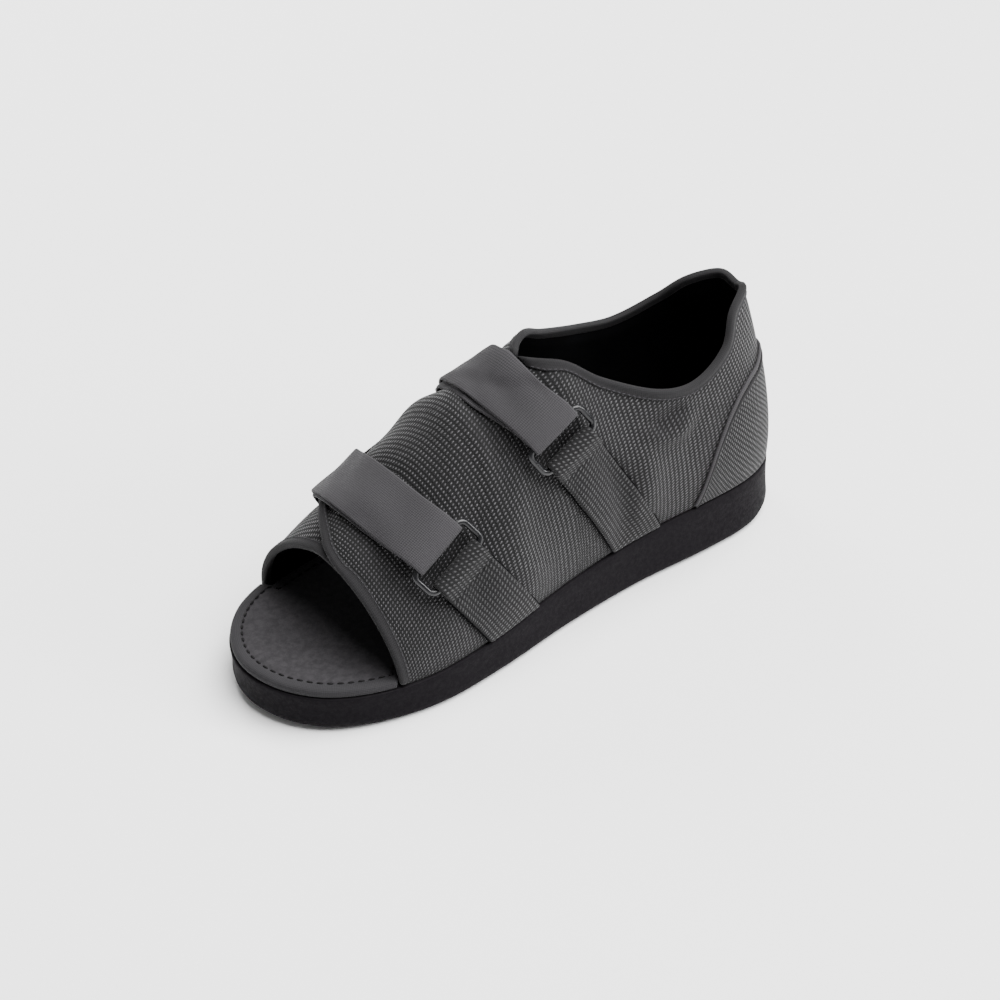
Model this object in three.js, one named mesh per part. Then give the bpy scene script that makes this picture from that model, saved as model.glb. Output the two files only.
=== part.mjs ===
// Post operative shoe: closed heel, open toe, a wedge sole of foam, a mesh upper whose ring side flap
// laps over the other one, and two hook and loop straps that turn back through rings.
// Millimetres, +X towards the toe, +Y towards the ring side, +Z up.
// The origin is on the floor, under the middle of the sole's length and width.
import * as THREE from "three";
import { mergeVertices } from "three/addons/utils/BufferGeometryUtils.js";

const TOUCH_GAP = 0.3; // between pieces that touch
const STRIP_GAP = 0.6; // between the wall and the straps and bands over it

// Sole
const SOLE_LENGTH = 290;
const BALL_WIDTH = 110.5;
const HEEL_THICKNESS = 30;
const FOREFOOT_THICKNESS = 18.5;
const WEDGE_START = 0.17; // share of the length where the heel's thickness starts to fall
const WEDGE_END = 0.86;
const TOE_SPRING = 2.5;
const SPRING_START = 0.76; // share of the length where the toe starts to rise
const EDGE_ROUND = 4.5; // round of the sole's lower edge
const HEEL_ROUND = 9; // the same at the heel's back
const HEEL_ROUND_END = 0.09; // share of the length where the heel's rounder edge ends
const TOP_ROUND = 0.8;

// Insole
const INSOLE_THICKNESS = 4.2;
const INSOLE_ROUND = 2;
const INSOLE_REVEAL = 0.7; // from the sole's edge to the insole's, in front of the upper
const INSOLE_STEP = { from: 0.012, to: 0.032 }; // where it widens, as shares past the toe opening
const BEVEL = 0.3; // of a round's radius that a flat in its middle takes off

// Upper
const UPPER_WALL = 3;
const FEATHER_INSET = 1.6; // from the sole's edge to the upper's foot
const COLLAR_WIDTH = 68;
const INSTEP_RISE = 102.6; // from the sole's top to the throat
const OPENING_SKEW = 16; // how much further forward the toe opening reaches on the far side
const THROAT_SHIFT = 3; // from the sole's centre line to the throat, towards the ring side
const FLAP_THICKNESS = 2.4; // of the ring side's flap where it laps over the other
const FLAP_EASE = 0.8; // run of the step at the flap's edge

// Tape sewn over the edges
const TAPE_WIDTH = 5;
const TAPE_THICKNESS = 1;
const HEM_EASE = 0.2; // how much more its free edges stand off
const FOLD = { out: 0.8, lift: 0.3 }; // the fold's shoulders, as shares of how far it stands out
const COLLAR_SHORT = 0.2; // of the last step, by which the collar tape stops short of the throat
const STATION_LEAST = 0.02; // least across between two stations of the toe tape

// Heel counter
const COUNTER_THICKNESS = 1;
const COUNTER_FOOT = 0.985; // across of its lower edge, where 1 is the upper's foot
const COUNTER_STEPS = 7;
const COUNTER_LEAST = 0.015; // least height of the counter at its front ends, as an across
const ROW_LEAST = 0.005; // least share of the length between its last two rows

// Straps, rings and the bands that hold the rings
const STRAP_THICKNESS = 1.5;
const STRAP_SLACK = 0.4; // how far the strap's upper run stands off the lower one over the crest
const BAND_THICKNESS = 1.8;
const BAND_TURN_BACK = 9; // length of the band's end past its ring
const RING_BAR = 3.2;
const RING_GAP = 10.4; // opening of a ring, measured up the shoe
const RING_SPARE = 3; // how much wider a ring's opening is than its strap
const RING_CORNER = 3.6; // centre line radius of a ring's corners
const STRIP_FOOT = 0.98; // across of the ends of straps and bands, where 1 is the upper's foot

// Half width of the sole as a share of half the ball width, at shares of the length
const SOLE_OUTLINE = [
  { along: 0.0, half: 0.0 },
  { along: 0.01, half: 0.258 },
  { along: 0.04, half: 0.482 },
  { along: 0.1, half: 0.625 },
  { along: 0.2, half: 0.675 },
  { along: 0.33, half: 0.69 },
  { along: 0.48, half: 0.787 },
  { along: 0.62, half: 0.93 },
  { along: 0.74, half: 1.0 },
  { along: 0.84, half: 0.927 },
  { along: 0.92, half: 0.75 },
  { along: 0.97, half: 0.487 },
  { along: 0.992, half: 0.25 },
  { along: 1.0, half: 0.0 },
];

// A row for each rib of the upper: foot and topX are shares of the sole's length, topY of half the
// collar width, rise of the instep rise. turn is how far a rib leans over by its top, in degrees, and
// belly is how far it swells between its ends, as a share of the instep rise.
const RIBS = [
  { foot: 0.0, topX: 0.029, topY: 0.0, rise: 0.861, turn: 30, belly: 0.011 },
  { foot: 0.012, topX: 0.042, topY: 0.28, rise: 0.895, turn: 30, belly: 0.016 },
  { foot: 0.04, topX: 0.086, topY: 0.545, rise: 0.858, turn: 30, belly: 0.027 },
  { foot: 0.1, topX: 0.126, topY: 0.826, rise: 0.754, turn: 34, belly: 0.032 },
  { foot: 0.2, topX: 0.202, topY: 1.0, rise: 0.684, turn: 45, belly: 0.034 },
  { foot: 0.28, topX: 0.275, topY: 0.99, rise: 0.733, turn: 50, belly: 0.038 },
  { foot: 0.36, topX: 0.361, topY: 0.72, rise: 0.869, turn: 60, belly: 0.042 },
  { foot: 0.415, topX: 0.414, topY: 0.48, rise: 0.984, turn: 72, belly: 0.042 },
  { foot: 0.44, topX: 0.445, topY: 0.3, rise: 1.007, turn: 82, belly: 0.042 },
  { foot: 0.455, topX: 0.475, topY: 0.0, rise: 1.0, turn: 90, belly: 0.042 },
  { foot: 0.5, topX: 0.512, topY: 0.0, rise: 0.941, turn: 90, belly: 0.042 },
  { foot: 0.55, topX: 0.555, topY: 0.0, rise: 0.898, turn: 90, belly: 0.038 },
  { foot: 0.65, topX: 0.648, topY: 0.0, rise: 0.785, turn: 90, belly: 0.032 },
  { foot: 0.75, topX: 0.748, topY: 0.0, rise: 0.629, turn: 90, belly: 0.021 },
  { foot: 0.84, topX: 0.84, topY: 0.0, rise: 0.468, turn: 90, belly: 0.013 },
];
const THROAT = 0.455; // foot share of the rib at the throat
const OPENING = 0.84; // foot share of the rib at the toe opening
const HEEL_POWER = 2; // a rib at the heel is part of an ellipse
const TOE_POWER = 1.72; // at the toe it is more of a tent
const POWER_START = 0.3; // foot share where the ribs start to change from one to the other
const THROAT_SHIFT_RUN = { from: 0.39, to: 0.62 }; // foot shares where the shift starts and ends
const SWELL_SKEW = 0.8; // below 1, a rib swells most below its middle
const CREST_BLEND = { share: 0.04, across: 0.06 }; // where the normals of both sides are joined

// Edge of the ring side's flap: across is 1 at the upper's foot on the ring side, 0 on the crest and
// -1 at the foot on the far side.
const FLAP_EDGE = [
  { along: 0.455, across: 0.0 },
  { along: 0.49, across: -0.12 },
  { along: 0.55, across: -0.4 },
  { along: 0.64, across: -0.52 },
  { along: 0.72, across: -0.47 },
  { along: 0.78, across: -0.29 },
  { along: 0.8, across: -0.2 },
  { along: 0.82, across: -0.08 },
  { along: 0.84, across: 0.09 },
];
const FLAP_FADE = { from: 0.3, to: 0.62, back: 0.32 }; // where the flap eases into the single wall

// Upper edge of the heel counter
const COUNTER_EDGE = [
  { along: 0.0, across: 0.4 },
  { along: 0.04, across: 0.379 },
  { along: 0.072, across: 0.346 },
  { along: 0.098, across: 0.35 },
  { along: 0.12, across: 0.391 },
  { along: 0.14, across: 0.455 },
  { along: 0.165, across: 0.588 },
  { along: 0.183, across: 0.738 },
  { along: 0.2, across: 0.908 },
  { along: 0.21, across: 0.985 },
];

// A row for each strap: its ring's place on the upper, the strap's width, how far its length is
// tipped back from upright and turned towards the far side's toe, and where its loose end stops.
const STRAPS = [
  { name: "toe", along: 0.707, across: 0.5, width: 28, tip: 30, turn: 6, end: -0.6 },
  { name: "instep", along: 0.458, across: 0.46, width: 26, tip: 27, turn: 7, end: -0.6 },
];

const smooth = (low, high, value) => THREE.MathUtils.smoothstep(value, low, high);
const mix = THREE.MathUtils.lerp;

// Shares of the length are turned into an angle, so that the sole's ends come out round.
const angleOf = (share) => Math.acos(THREE.MathUtils.clamp(1 - 2 * share, -1, 1));
const shareOf = (angle) => (1 - Math.cos(angle)) / 2;
const xAt = (share) => (share - 0.5) * SOLE_LENGTH;

// A smooth curve through one column of a table
function tableCurve(rows, key, column) {
  const x = rows.map((row) => angleOf(row[key]));
  const y = rows.map((row) => row[column]);
  const slopes = x.map((_, i) => {
    const before = Math.max(i - 1, 0);
    const after = Math.min(i + 1, x.length - 1);
    return (y[after] - y[before]) / (x[after] - x[before]);
  });
  return (share) => {
    const angle = angleOf(share);
    let i = 0;
    while (i < x.length - 2 && angle > x[i + 1]) i++;
    const width = x[i + 1] - x[i];
    const t = THREE.MathUtils.clamp((angle - x[i]) / width, 0, 1);
    const t2 = t * t;
    const t3 = t2 * t;
    return (
      (2 * t3 - 3 * t2 + 1) * y[i] +
      (t3 - 2 * t2 + t) * width * slopes[i] +
      (3 * t2 - 2 * t3) * y[i + 1] +
      (t3 - t2) * width * slopes[i + 1]
    );
  };
}

const range = (steps) => Array.from({ length: steps + 1 }, (_, i) => i / steps);

// Sole outline and heights
const outlineShare = tableCurve(SOLE_OUTLINE, "along", "half");
const soleHalf = (share) => (Math.max(0, outlineShare(share)) * BALL_WIDTH) / 2;
const floorHeight = (share) =>
  TOE_SPRING * Math.max(0, (share - SPRING_START) / (1 - SPRING_START)) ** 2;
const soleTop = (share) =>
  mix(HEEL_THICKNESS, FOREFOOT_THICKNESS, smooth(WEDGE_START, WEDGE_END, share)) +
  floorHeight(share);

// Point of the sole's outline on one side, and the way out of the sole there
function outlineAt(side, share) {
  const angle = angleOf(share);
  const at = (q) => {
    const s = shareOf(THREE.MathUtils.clamp(q, 0, Math.PI));
    return new THREE.Vector3(xAt(s), side * soleHalf(s), 0);
  };
  const step = 5e-3;
  const along = at(angle + step).sub(at(angle - step));
  const outward = new THREE.Vector3(-along.y, along.x, 0).multiplyScalar(side).normalize();
  if (share <= 0) outward.set(-1, 0, 0);
  if (share >= 1) outward.set(1, 0, 0);
  return { point: at(angle), outward };
}

// Ribs of the upper
const ribColumn = Object.fromEntries(
  ["topX", "topY", "rise", "turn", "belly"].map((c) => [c, tableCurve(RIBS, "foot", c)]),
);

function ribAt(side, share) {
  const skew = (side * OPENING_SKEW * smooth(THROAT, OPENING, share)) / 2;
  const footShare = share - skew / SOLE_LENGTH;
  const { point, outward } = outlineAt(side, footShare);
  const foot = point.addScaledVector(outward, -FEATHER_INSET);
  foot.z = soleTop(footShare) + TOUCH_GAP;
  const topY = share < THROAT ? (Math.max(0, ribColumn.topY(share)) * COLLAR_WIDTH) / 2 : 0;
  const shiftIn = smooth(THROAT_SHIFT_RUN.from, THROAT, share);
  const shift = THROAT_SHIFT * shiftIn * (1 - smooth(THROAT, THROAT_SHIFT_RUN.to, share));
  const rise = ribColumn.rise(share) * INSTEP_RISE;
  return {
    foot,
    top: new THREE.Vector3(xAt(ribColumn.topX(share)), side * topY + shift, soleTop(share) + rise),
    outward,
    turn: THREE.MathUtils.degToRad(Math.min(90, ribColumn.turn(share))),
    belly: ribColumn.belly(share) * INSTEP_RISE,
    power: mix(HEEL_POWER, TOE_POWER, smooth(POWER_START, OPENING, share)),
  };
}

// The upper as if it were a single wall. side is 1 on the ring side and -1 on the far one, share runs
// from the heel's back to the toe opening, and across from 1 at the foot to 0 at the collar or crest.
function wallPoint(side, share, across) {
  const rib = ribAt(side, share);
  const up = 1 - across;
  const bend = (q) => Math.max(0, Math.cos(q)) ** (2 / rib.power);
  const climb = (q) => Math.max(0, Math.sin(q)) ** (2 / rib.power);
  const lean = (1 - bend(rib.turn * up)) / (1 - bend(rib.turn));
  const lift = climb(rib.turn * up) / climb(rib.turn);
  const span = rib.top.clone().sub(rib.foot);
  const swell = rib.belly * Math.sin(Math.PI * up ** SWELL_SKEW);
  return rib.foot
    .clone()
    .add(new THREE.Vector3(span.x * lean, span.y * lean, span.z * lift))
    .addScaledVector(rib.outward, swell);
}

// The wall's outward normal at a place, and how far a point moves for each share and each across
function wallSlopes(side, share, across) {
  const step = 2e-3;
  const angle = angleOf(share);
  const shareFore = shareOf(angle + step);
  const shareAft = shareOf(Math.max(angle - step, 0));
  const high = Math.max(0, across - step);
  const low = Math.min(1, across + step);
  const alongShoe = wallPoint(side, shareFore, across).sub(wallPoint(side, shareAft, across));
  const downRib = wallPoint(side, share, low).sub(wallPoint(side, share, high));
  return {
    normal: alongShoe.clone().cross(downRib).multiplyScalar(side).normalize(),
    perShare: alongShoe.divideScalar(shareFore - shareAft),
    perAcross: downRib.divideScalar(low - high),
  };
}

function wallFrame(side, share, across) {
  const frame = wallSlopes(side, share, across);
  if (share <= 0) frame.normal.y = 0;
  const nearCrest = 1 - smooth(0, CREST_BLEND.across, across);
  const crest = smooth(THROAT - CREST_BLEND.share, THROAT, share) * nearCrest;
  if (crest > 0) frame.normal.addScaledVector(wallSlopes(-side, share, across).normal, crest);
  frame.normal.normalize();
  return frame;
}

// How far the flap stands proud of the single wall, as if it ran on past its edge
function flapProud(side, share, across) {
  if (side < 0) return share < THROAT ? 0 : FLAP_THICKNESS;
  const back = smooth(FLAP_FADE.back, THROAT, share);
  return FLAP_THICKNESS * back * (1 - smooth(FLAP_FADE.from, FLAP_FADE.to, across));
}

const flapEdgeAt = tableCurve(FLAP_EDGE, "along", "across");

// A point over the single wall. Here across is signed: below 0 on the far side.
function overWall(share, across, lift) {
  const side = across < 0 ? -1 : 1;
  const base = wallPoint(side, share, Math.abs(across));
  return base.addScaledVector(wallFrame(side, share, Math.abs(across)).normal, lift);
}

// Solids from grids of points
function solidFrom(triangles) {
  let volume = 0;
  for (const [a, b, c] of triangles) volume += a.dot(b.clone().cross(c));
  const positions = new Float32Array(triangles.length * 9);
  triangles.forEach((triangle, i) => {
    const order = volume > 0 ? triangle : [triangle[0], triangle[2], triangle[1]];
    order.forEach((p, k) => positions.set([p.x, p.y, p.z], i * 9 + k * 3));
  });
  const geometry = new THREE.BufferGeometry();
  geometry.setAttribute("position", new THREE.BufferAttribute(positions, 3));
  const merged = mergeVertices(geometry, 1e-3);
  merged.computeVertexNormals();
  return merged;
}

const apart = (a, b) => a.distanceTo(b) > 1e-3;

function quad(triangles, a, b, c, d) {
  if (apart(a, b) && apart(b, c) && apart(a, c)) triangles.push([a, b, c]);
  if (apart(a, c) && apart(c, d) && apart(a, d)) triangles.push([a, c, d]);
}

// A bent plate between two grids of the same size
function plate(outer, inner) {
  const triangles = [];
  const last = outer.length - 1;
  const end = outer[0].length - 1;
  for (let i = 0; i < last; i++)
    for (let k = 0; k < end; k++) {
      quad(triangles, outer[i][k], outer[i + 1][k], outer[i + 1][k + 1], outer[i][k + 1]);
      quad(triangles, inner[i][k], inner[i][k + 1], inner[i + 1][k + 1], inner[i + 1][k]);
    }
  for (let i = 0; i < last; i++) {
    quad(triangles, inner[i][0], inner[i + 1][0], outer[i + 1][0], outer[i][0]);
    quad(triangles, outer[i][end], outer[i + 1][end], inner[i + 1][end], inner[i][end]);
  }
  for (let k = 0; k < end; k++) {
    quad(triangles, outer[0][k], outer[0][k + 1], inner[0][k + 1], inner[0][k]);
    quad(triangles, inner[last][k], inner[last][k + 1], outer[last][k + 1], outer[last][k]);
  }
  return solidFrom(triangles);
}

// A stack of loops round the sole, closed below and above by rungs from side to side
function loopStack(loops) {
  const triangles = [];
  const count = loops[0].length;
  for (let k = 0; k + 1 < loops.length; k++)
    for (let i = 0; i < count; i++) {
      const j = (i + 1) % count;
      quad(triangles, loops[k][j], loops[k][i], loops[k + 1][i], loops[k + 1][j]);
    }
  const top = loops[loops.length - 1];
  const bottom = loops[0];
  for (let i = 0; i < count / 2; i++) {
    const far = (count - i) % count;
    const farNext = count - i - 1;
    quad(triangles, bottom[i], bottom[i + 1], bottom[farNext], bottom[far]);
    quad(triangles, top[far], top[farNext], top[i + 1], top[i]);
  }
  return solidFrom(triangles);
}

const OUTLINE_STEPS = 40;

function outlineLoop(insetAt, heightAt) {
  const point = (side, i) => {
    const share = shareOf((i / OUTLINE_STEPS) * Math.PI);
    const { point: p, outward } = outlineAt(side, share);
    p.addScaledVector(outward, -insetAt(side, share));
    p.z = heightAt(share);
    return p;
  };
  const loop = [];
  for (let i = 0; i <= OUTLINE_STEPS; i++) loop.push(point(1, i));
  for (let i = OUTLINE_STEPS - 1; i > 0; i--) loop.push(point(-1, i));
  return loop;
}

function makeSole() {
  const roundAt = (share) => mix(HEEL_ROUND, EDGE_ROUND, smooth(0, HEEL_ROUND_END, share));
  const lower = [90, 60, 30, 0].map((degrees) => {
    const turn = THREE.MathUtils.degToRad(degrees);
    return outlineLoop(
      (side, share) => roundAt(share) * (1 - Math.cos(turn)),
      (share) => floorHeight(share) + roundAt(share) * (1 - Math.sin(turn)),
    );
  });
  const upper = [
    outlineLoop(() => 0, (share) => soleTop(share) - TOP_ROUND),
    outlineLoop(() => TOP_ROUND, soleTop),
  ];
  return loopStack([...lower, ...upper]);
}

function makeInsole() {
  const covered = FEATHER_INSET + UPPER_WALL + TAPE_THICKNESS + 2 * TOUCH_GAP;
  const insetAt = (side, share) => {
    const past = share - OPENING + (side * OPENING_SKEW) / 2 / SOLE_LENGTH;
    return mix(covered, INSOLE_REVEAL, smooth(INSOLE_STEP.from, INSOLE_STEP.to, past));
  };
  const levels = [
    { inset: 0, height: TOUCH_GAP },
    { inset: 0, height: INSOLE_THICKNESS - INSOLE_ROUND },
    { inset: INSOLE_ROUND * BEVEL, height: INSOLE_THICKNESS - INSOLE_ROUND * BEVEL },
    { inset: INSOLE_ROUND, height: INSOLE_THICKNESS },
  ];
  return loopStack(
    levels.map(({ inset, height }) =>
      outlineLoop(
        (side, share) => insetAt(side, share) + inset,
        (share) => soleTop(share) + height,
      ),
    ),
  );
}

// The upper: one wall from the ring side's foot to the far side's, open at collar, toe and foot
const COLLAR_STEPS = 25;
const CREST_STEPS = 16;
const COLUMN_STEPS = 10; // besides the one under the tape
const NEAR_CREST = 0.2; // across, where the flap's edge is measured
const TURN_STEPS = 3; // of those, between the flap's edge and the crest
const SEARCH_STEPS = 300; // fine steps along the collar, from which its rows are picked
const HEM_LEAST = 0.75; // least share of a rib's own slope that is taken as the way down the tape
const TOE_HEM = OPENING - TAPE_WIDTH / SOLE_LENGTH; // foot share of the rib where the toe tape ends
const crestShares = [...range(CREST_STEPS - 1).map((t) => mix(THROAT, TOE_HEM, t)), OPENING];

// Rows at even steps of the collar and the foot together
const collarShares = (() => {
  const fine = range(SEARCH_STEPS).map((t) => shareOf(angleOf(THROAT) * t));
  let length = 0;
  const lengths = fine.map((share, i) => {
    if (i > 0)
      for (const across of [0, 1])
        length += wallPoint(1, share, across).distanceTo(wallPoint(1, fine[i - 1], across));
    return length;
  });
  return range(COLLAR_STEPS).map((t) => fine[lengths.findIndex((l) => l >= length * t)]);
})();

// How far the tape reaches down a rib from the collar, as an across
function hemAt(side, share) {
  const { perShare, perAcross } = wallSlopes(side, share, 0);
  const square = perShare.clone().cross(perAcross).length() / perShare.length();
  return TAPE_WIDTH / Math.max(square, HEM_LEAST * perAcross.length());
}

// Columns of a row of the upper, as signed acrosses, first on the ring side and then on the far one
function columnsAt(share, isCollar) {
  if (isCollar) {
    const [near, far] = [hemAt(1, share), hemAt(-1, share)];
    return [
      ...range(COLUMN_STEPS).map((t) => ({ across: mix(1, near, t), onFlap: true })),
      { across: 0, onFlap: true },
      { across: 0, onFlap: false },
      ...range(COLUMN_STEPS).map((t) => ({ across: mix(-far, -1, t), onFlap: false })),
    ];
  }
  const edge = flapEdgeAt(share);
  const size = wallFrame(-1, share, NEAR_CREST).perAcross.length();
  const low = edge - FLAP_EASE / size;
  const hem = (TAPE_WIDTH + TOUCH_GAP) / size;
  const [near, far] = [edge + hem, low - hem];
  const nearTurn = Math.max(0, near);
  const farTurn = Math.min(0, far);
  const long = COLUMN_STEPS - TURN_STEPS;
  return [
    ...range(long).map((t) => ({ across: mix(1, nearTurn, t), onFlap: true })),
    ...range(TURN_STEPS).slice(1).map((t) => ({ across: mix(nearTurn, near, t), onFlap: true })),
    { across: edge, onFlap: true },
    { across: low, onFlap: false },
    ...range(TURN_STEPS).map((t) => ({ across: mix(far, farTurn, t), onFlap: false })),
    ...range(long).slice(1).map((t) => ({ across: mix(farTurn, -1, t), onFlap: false })),
  ];
}

function upperRow(share, isCollar) {
  const columns = columnsAt(share, isCollar);
  const point = ({ across, onFlap }, lift) => {
    const side = across > 0 || (onFlap && across === 0) ? 1 : -1;
    const proud = onFlap && lift === 0 ? flapProud(side, share, Math.abs(across)) : 0;
    const base = wallPoint(side, share, Math.abs(across));
    const { normal } = wallFrame(side, share, Math.abs(across));
    return base.addScaledVector(normal, lift + proud);
  };
  return {
    outer: columns.map((column) => point(column, 0)),
    inner: columns.map((column) => point(column, -UPPER_WALL)),
  };
}

function makeUpper() {
  const triangles = [];
  const skinBetween = (a, b, k) => {
    quad(triangles, a.outer[k], b.outer[k], b.outer[k + 1], a.outer[k + 1]);
    quad(triangles, a.inner[k + 1], b.inner[k + 1], b.inner[k], a.inner[k]);
  };
  const edgeBetween = (a, b, k) => quad(triangles, a.outer[k], a.inner[k], b.inner[k], b.outer[k]);
  const collar = collarShares.slice(0, -1).map((share) => upperRow(share, true));
  const crest = crestShares.map((share) => upperRow(share, false));
  const top = COLUMN_STEPS + 1;
  const end = 2 * COLUMN_STEPS + 3;
  const throat = crest[0];
  const toe = crest[CREST_STEPS];
  [...collar, throat].forEach((b, i, rows) => {
    if (i === 0) return;
    const a = rows[i - 1];
    for (let k = 0; k < end; k++) if (k !== top) skinBetween(a, b, k);
    edgeBetween(a, b, 0);
    edgeBetween(b, a, top);
    edgeBetween(a, b, top + 1);
    edgeBetween(b, a, end);
  });
  for (let i = 0; i < CREST_STEPS; i++) {
    const [a, b] = [crest[i], crest[i + 1]];
    for (let k = 0; k < end; k++) skinBetween(a, b, k);
    edgeBetween(a, b, 0);
    edgeBetween(b, a, end);
  }
  quad(triangles, throat.outer[top], throat.outer[top + 1], throat.inner[top + 1], throat.inner[top]);
  for (let k = 0; k < end; k++)
    quad(triangles, toe.outer[k + 1], toe.outer[k], toe.inner[k], toe.inner[k + 1]);
  return solidFrom(triangles);
}

// The counter wraps the heel from one side's foot to the other's
function makeCounter() {
  const edge = tableCurve(COUNTER_EDGE, "along", "across");
  const reach = COUNTER_EDGE[COUNTER_EDGE.length - 1].along;
  const shares = [...collarShares.filter((share) => share < reach - ROW_LEAST), reach];
  const rowsOn = (side, lift) =>
    shares.map((share) =>
      range(COUNTER_STEPS).map((t) => {
        const across = mix(COUNTER_FOOT, Math.min(COUNTER_FOOT - COUNTER_LEAST, edge(share)), t);
        const { normal } = wallFrame(side, share, across);
        return wallPoint(side, share, across).addScaledVector(normal, lift);
      }),
    );
  const rowsAt = (lift) => [...rowsOn(-1, lift).reverse(), ...rowsOn(1, lift).slice(1)];
  return plate(rowsAt(TOUCH_GAP + COUNTER_THICKNESS), rowsAt(TOUCH_GAP));
}

// Rows of tape folded over an edge of the wall. Each station is a place on the edge, with the step in
// share and across that takes the tape's width away from the edge.
function foldedRows(stations) {
  const points = stations.map(({ side, share, across }) => wallPoint(side, share, across));
  const beyond = TOUCH_GAP + TAPE_THICKNESS;
  return stations.map(({ side, share, across, onFlap, step }, i) => {
    const { normal, perShare, perAcross } = wallFrame(side, share, across);
    const before = points[Math.max(i - 1, 0)];
    const after = points[Math.min(i + 1, points.length - 1)];
    const inward = normal.clone().cross(after.clone().sub(before)).normalize();
    if (inward.dot(perAcross) * step.across + inward.dot(perShare) * step.share < 0) inward.negate();
    const past = (out, lift) =>
      points[i].clone().addScaledVector(normal, lift).addScaledVector(inward, -out);
    const hem = { share: share + step.share, across: side * (across + step.across) };
    const atHem = (lift) => overWall(hem.share, hem.across, lift);
    const proudAt = (s, a) => (onFlap ? flapProud(a < 0 ? -1 : 1, s, Math.abs(a)) : 0);
    const proud = onFlap ? flapProud(side, share, across) : 0;
    const hemOver = proudAt(hem.share, hem.across) + TOUCH_GAP + HEM_EASE;
    const over = proud + TOUCH_GAP;
    const under = -UPPER_WALL - TOUCH_GAP;
    const half = (over + under) / 2;
    return {
      outer: [
        atHem(hemOver + TAPE_THICKNESS),
        past(0, over + TAPE_THICKNESS),
        past(beyond * FOLD.out, over + TAPE_THICKNESS * FOLD.lift),
        past(beyond, half),
        past(beyond * FOLD.out, under - TAPE_THICKNESS * FOLD.lift),
        past(0, under - TAPE_THICKNESS),
        atHem(under - TAPE_THICKNESS - 2 * HEM_EASE),
      ],
      inner: [
        atHem(hemOver),
        past(0, over),
        past(TOUCH_GAP, over),
        past(TOUCH_GAP + HEM_EASE, half),
        past(TOUCH_GAP, under),
        past(0, under),
        atHem(under - 2 * HEM_EASE),
      ],
    };
  });
}

const tapeFrom = (rows) => plate(rows.map((row) => row.outer), rows.map((row) => row.inner));

function makeCollarTape() {
  const rowsOn = (side) => {
    const last = collarShares.length - 1;
    const rows = foldedRows(
      collarShares.map((share, i) => ({
        side,
        share,
        across: i === last && side < 0 ? -columnsAt(share, false)[COLUMN_STEPS + 2].across : 0,
        onFlap: side > 0,
        step: { share: 0, across: hemAt(side, share) },
      })),
    );
    // The tape stops just short of the throat.
    for (const skin of ["outer", "inner"])
      rows[last][skin].forEach((p, k) => p.lerp(rows[last - 1][skin][k], COLLAR_SHORT));
    return rows;
  };
  return tapeFrom([...rowsOn(-1).reverse(), ...rowsOn(1).slice(1)]);
}

function makeToeTape(side) {
  const places = columnsAt(OPENING, false);
  const behind = columnsAt(TOE_HEM, false);
  const shyAcross = TOUCH_GAP / wallFrame(1, OPENING, 0.5).perAcross.length();
  const stations = [];
  places.forEach(({ across, onFlap }, i) => {
    if (onFlap !== side > 0) return;
    const shy = side < 0 && i === COLUMN_STEPS + 2 ? shyAcross : 0;
    const place = THREE.MathUtils.clamp(across - shy, -STRIP_FOOT, STRIP_FOOT);
    const last = stations[stations.length - 1];
    const isEnd = i === 0 || places[i - 1].onFlap !== onFlap || i === COLUMN_STEPS + 1;
    if (!isEnd && Math.abs(last.place - place) < STATION_LEAST) return;
    const stationSide = place < 0 ? -1 : 1;
    stations.push({
      place,
      side: stationSide,
      share: OPENING,
      across: Math.abs(place),
      onFlap,
      step: { share: TOE_HEM - OPENING, across: stationSide * (behind[i].across - across) },
    });
  });
  return tapeFrom(foldedRows(stations));
}

const FLAP_TAPE_STEPS = 36;
const FLAP_TAPE_START = 0.02; // foot share past the throat, clear of the collar's tape

// Tape on the flap's own edge, turned down over the step on to the other flap
function makeFlapTape() {
  const drop = TOUCH_GAP - FLAP_THICKNESS;
  const outer = [
    { out: TAPE_WIDTH, lift: TOUCH_GAP + TAPE_THICKNESS },
    { out: TOUCH_GAP, lift: TOUCH_GAP + TAPE_THICKNESS },
    { out: -TAPE_THICKNESS - TOUCH_GAP, lift: FOLD.out * TAPE_THICKNESS },
    { out: -FLAP_EASE - TAPE_THICKNESS - TOUCH_GAP, lift: drop },
  ];
  const inner = [
    { out: TAPE_WIDTH, lift: TOUCH_GAP },
    { out: 1, lift: TOUCH_GAP },
    { out: -TOUCH_GAP, lift: TOUCH_GAP },
    { out: -FLAP_EASE - TOUCH_GAP, lift: drop },
  ];
  const length = wallFrame(1, OPENING, flapEdgeAt(OPENING)).perShare.length();
  const reach = OPENING - (TAPE_WIDTH + 2 * TOUCH_GAP) / length;
  const shares = range(FLAP_TAPE_STEPS).map((t) => mix(THROAT + FLAP_TAPE_START, reach, t));
  const rowsFrom = (section) =>
    shares.map((share) => {
      const edge = flapEdgeAt(share);
      const size = wallFrame(-1, share, NEAR_CREST).perAcross.length();
      return section.map(({ out, lift }) =>
        overWall(share, edge + out / size, lift + FLAP_THICKNESS),
      );
    });
  return plate(rowsFrom(outer), rowsFrom(inner));
}

const RING_HALF_RISE = (RING_GAP + RING_BAR) / 2;
const FLAT_RUN = RING_HALF_RISE + RING_BAR; // how far the strips are flat on either side of a ring's middle
const CURVED_FROM = 2.4 * FLAT_RUN; // how far from it they follow the shoe in full

// Millimetres past an edge over which a strip comes down off what it lies on
const COME_DOWN = {
  flap: { from: 8, to: 22 },
  flapTape: { from: 10, to: 20 },
  collarTape: { from: 7, to: 13 },
};
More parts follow.
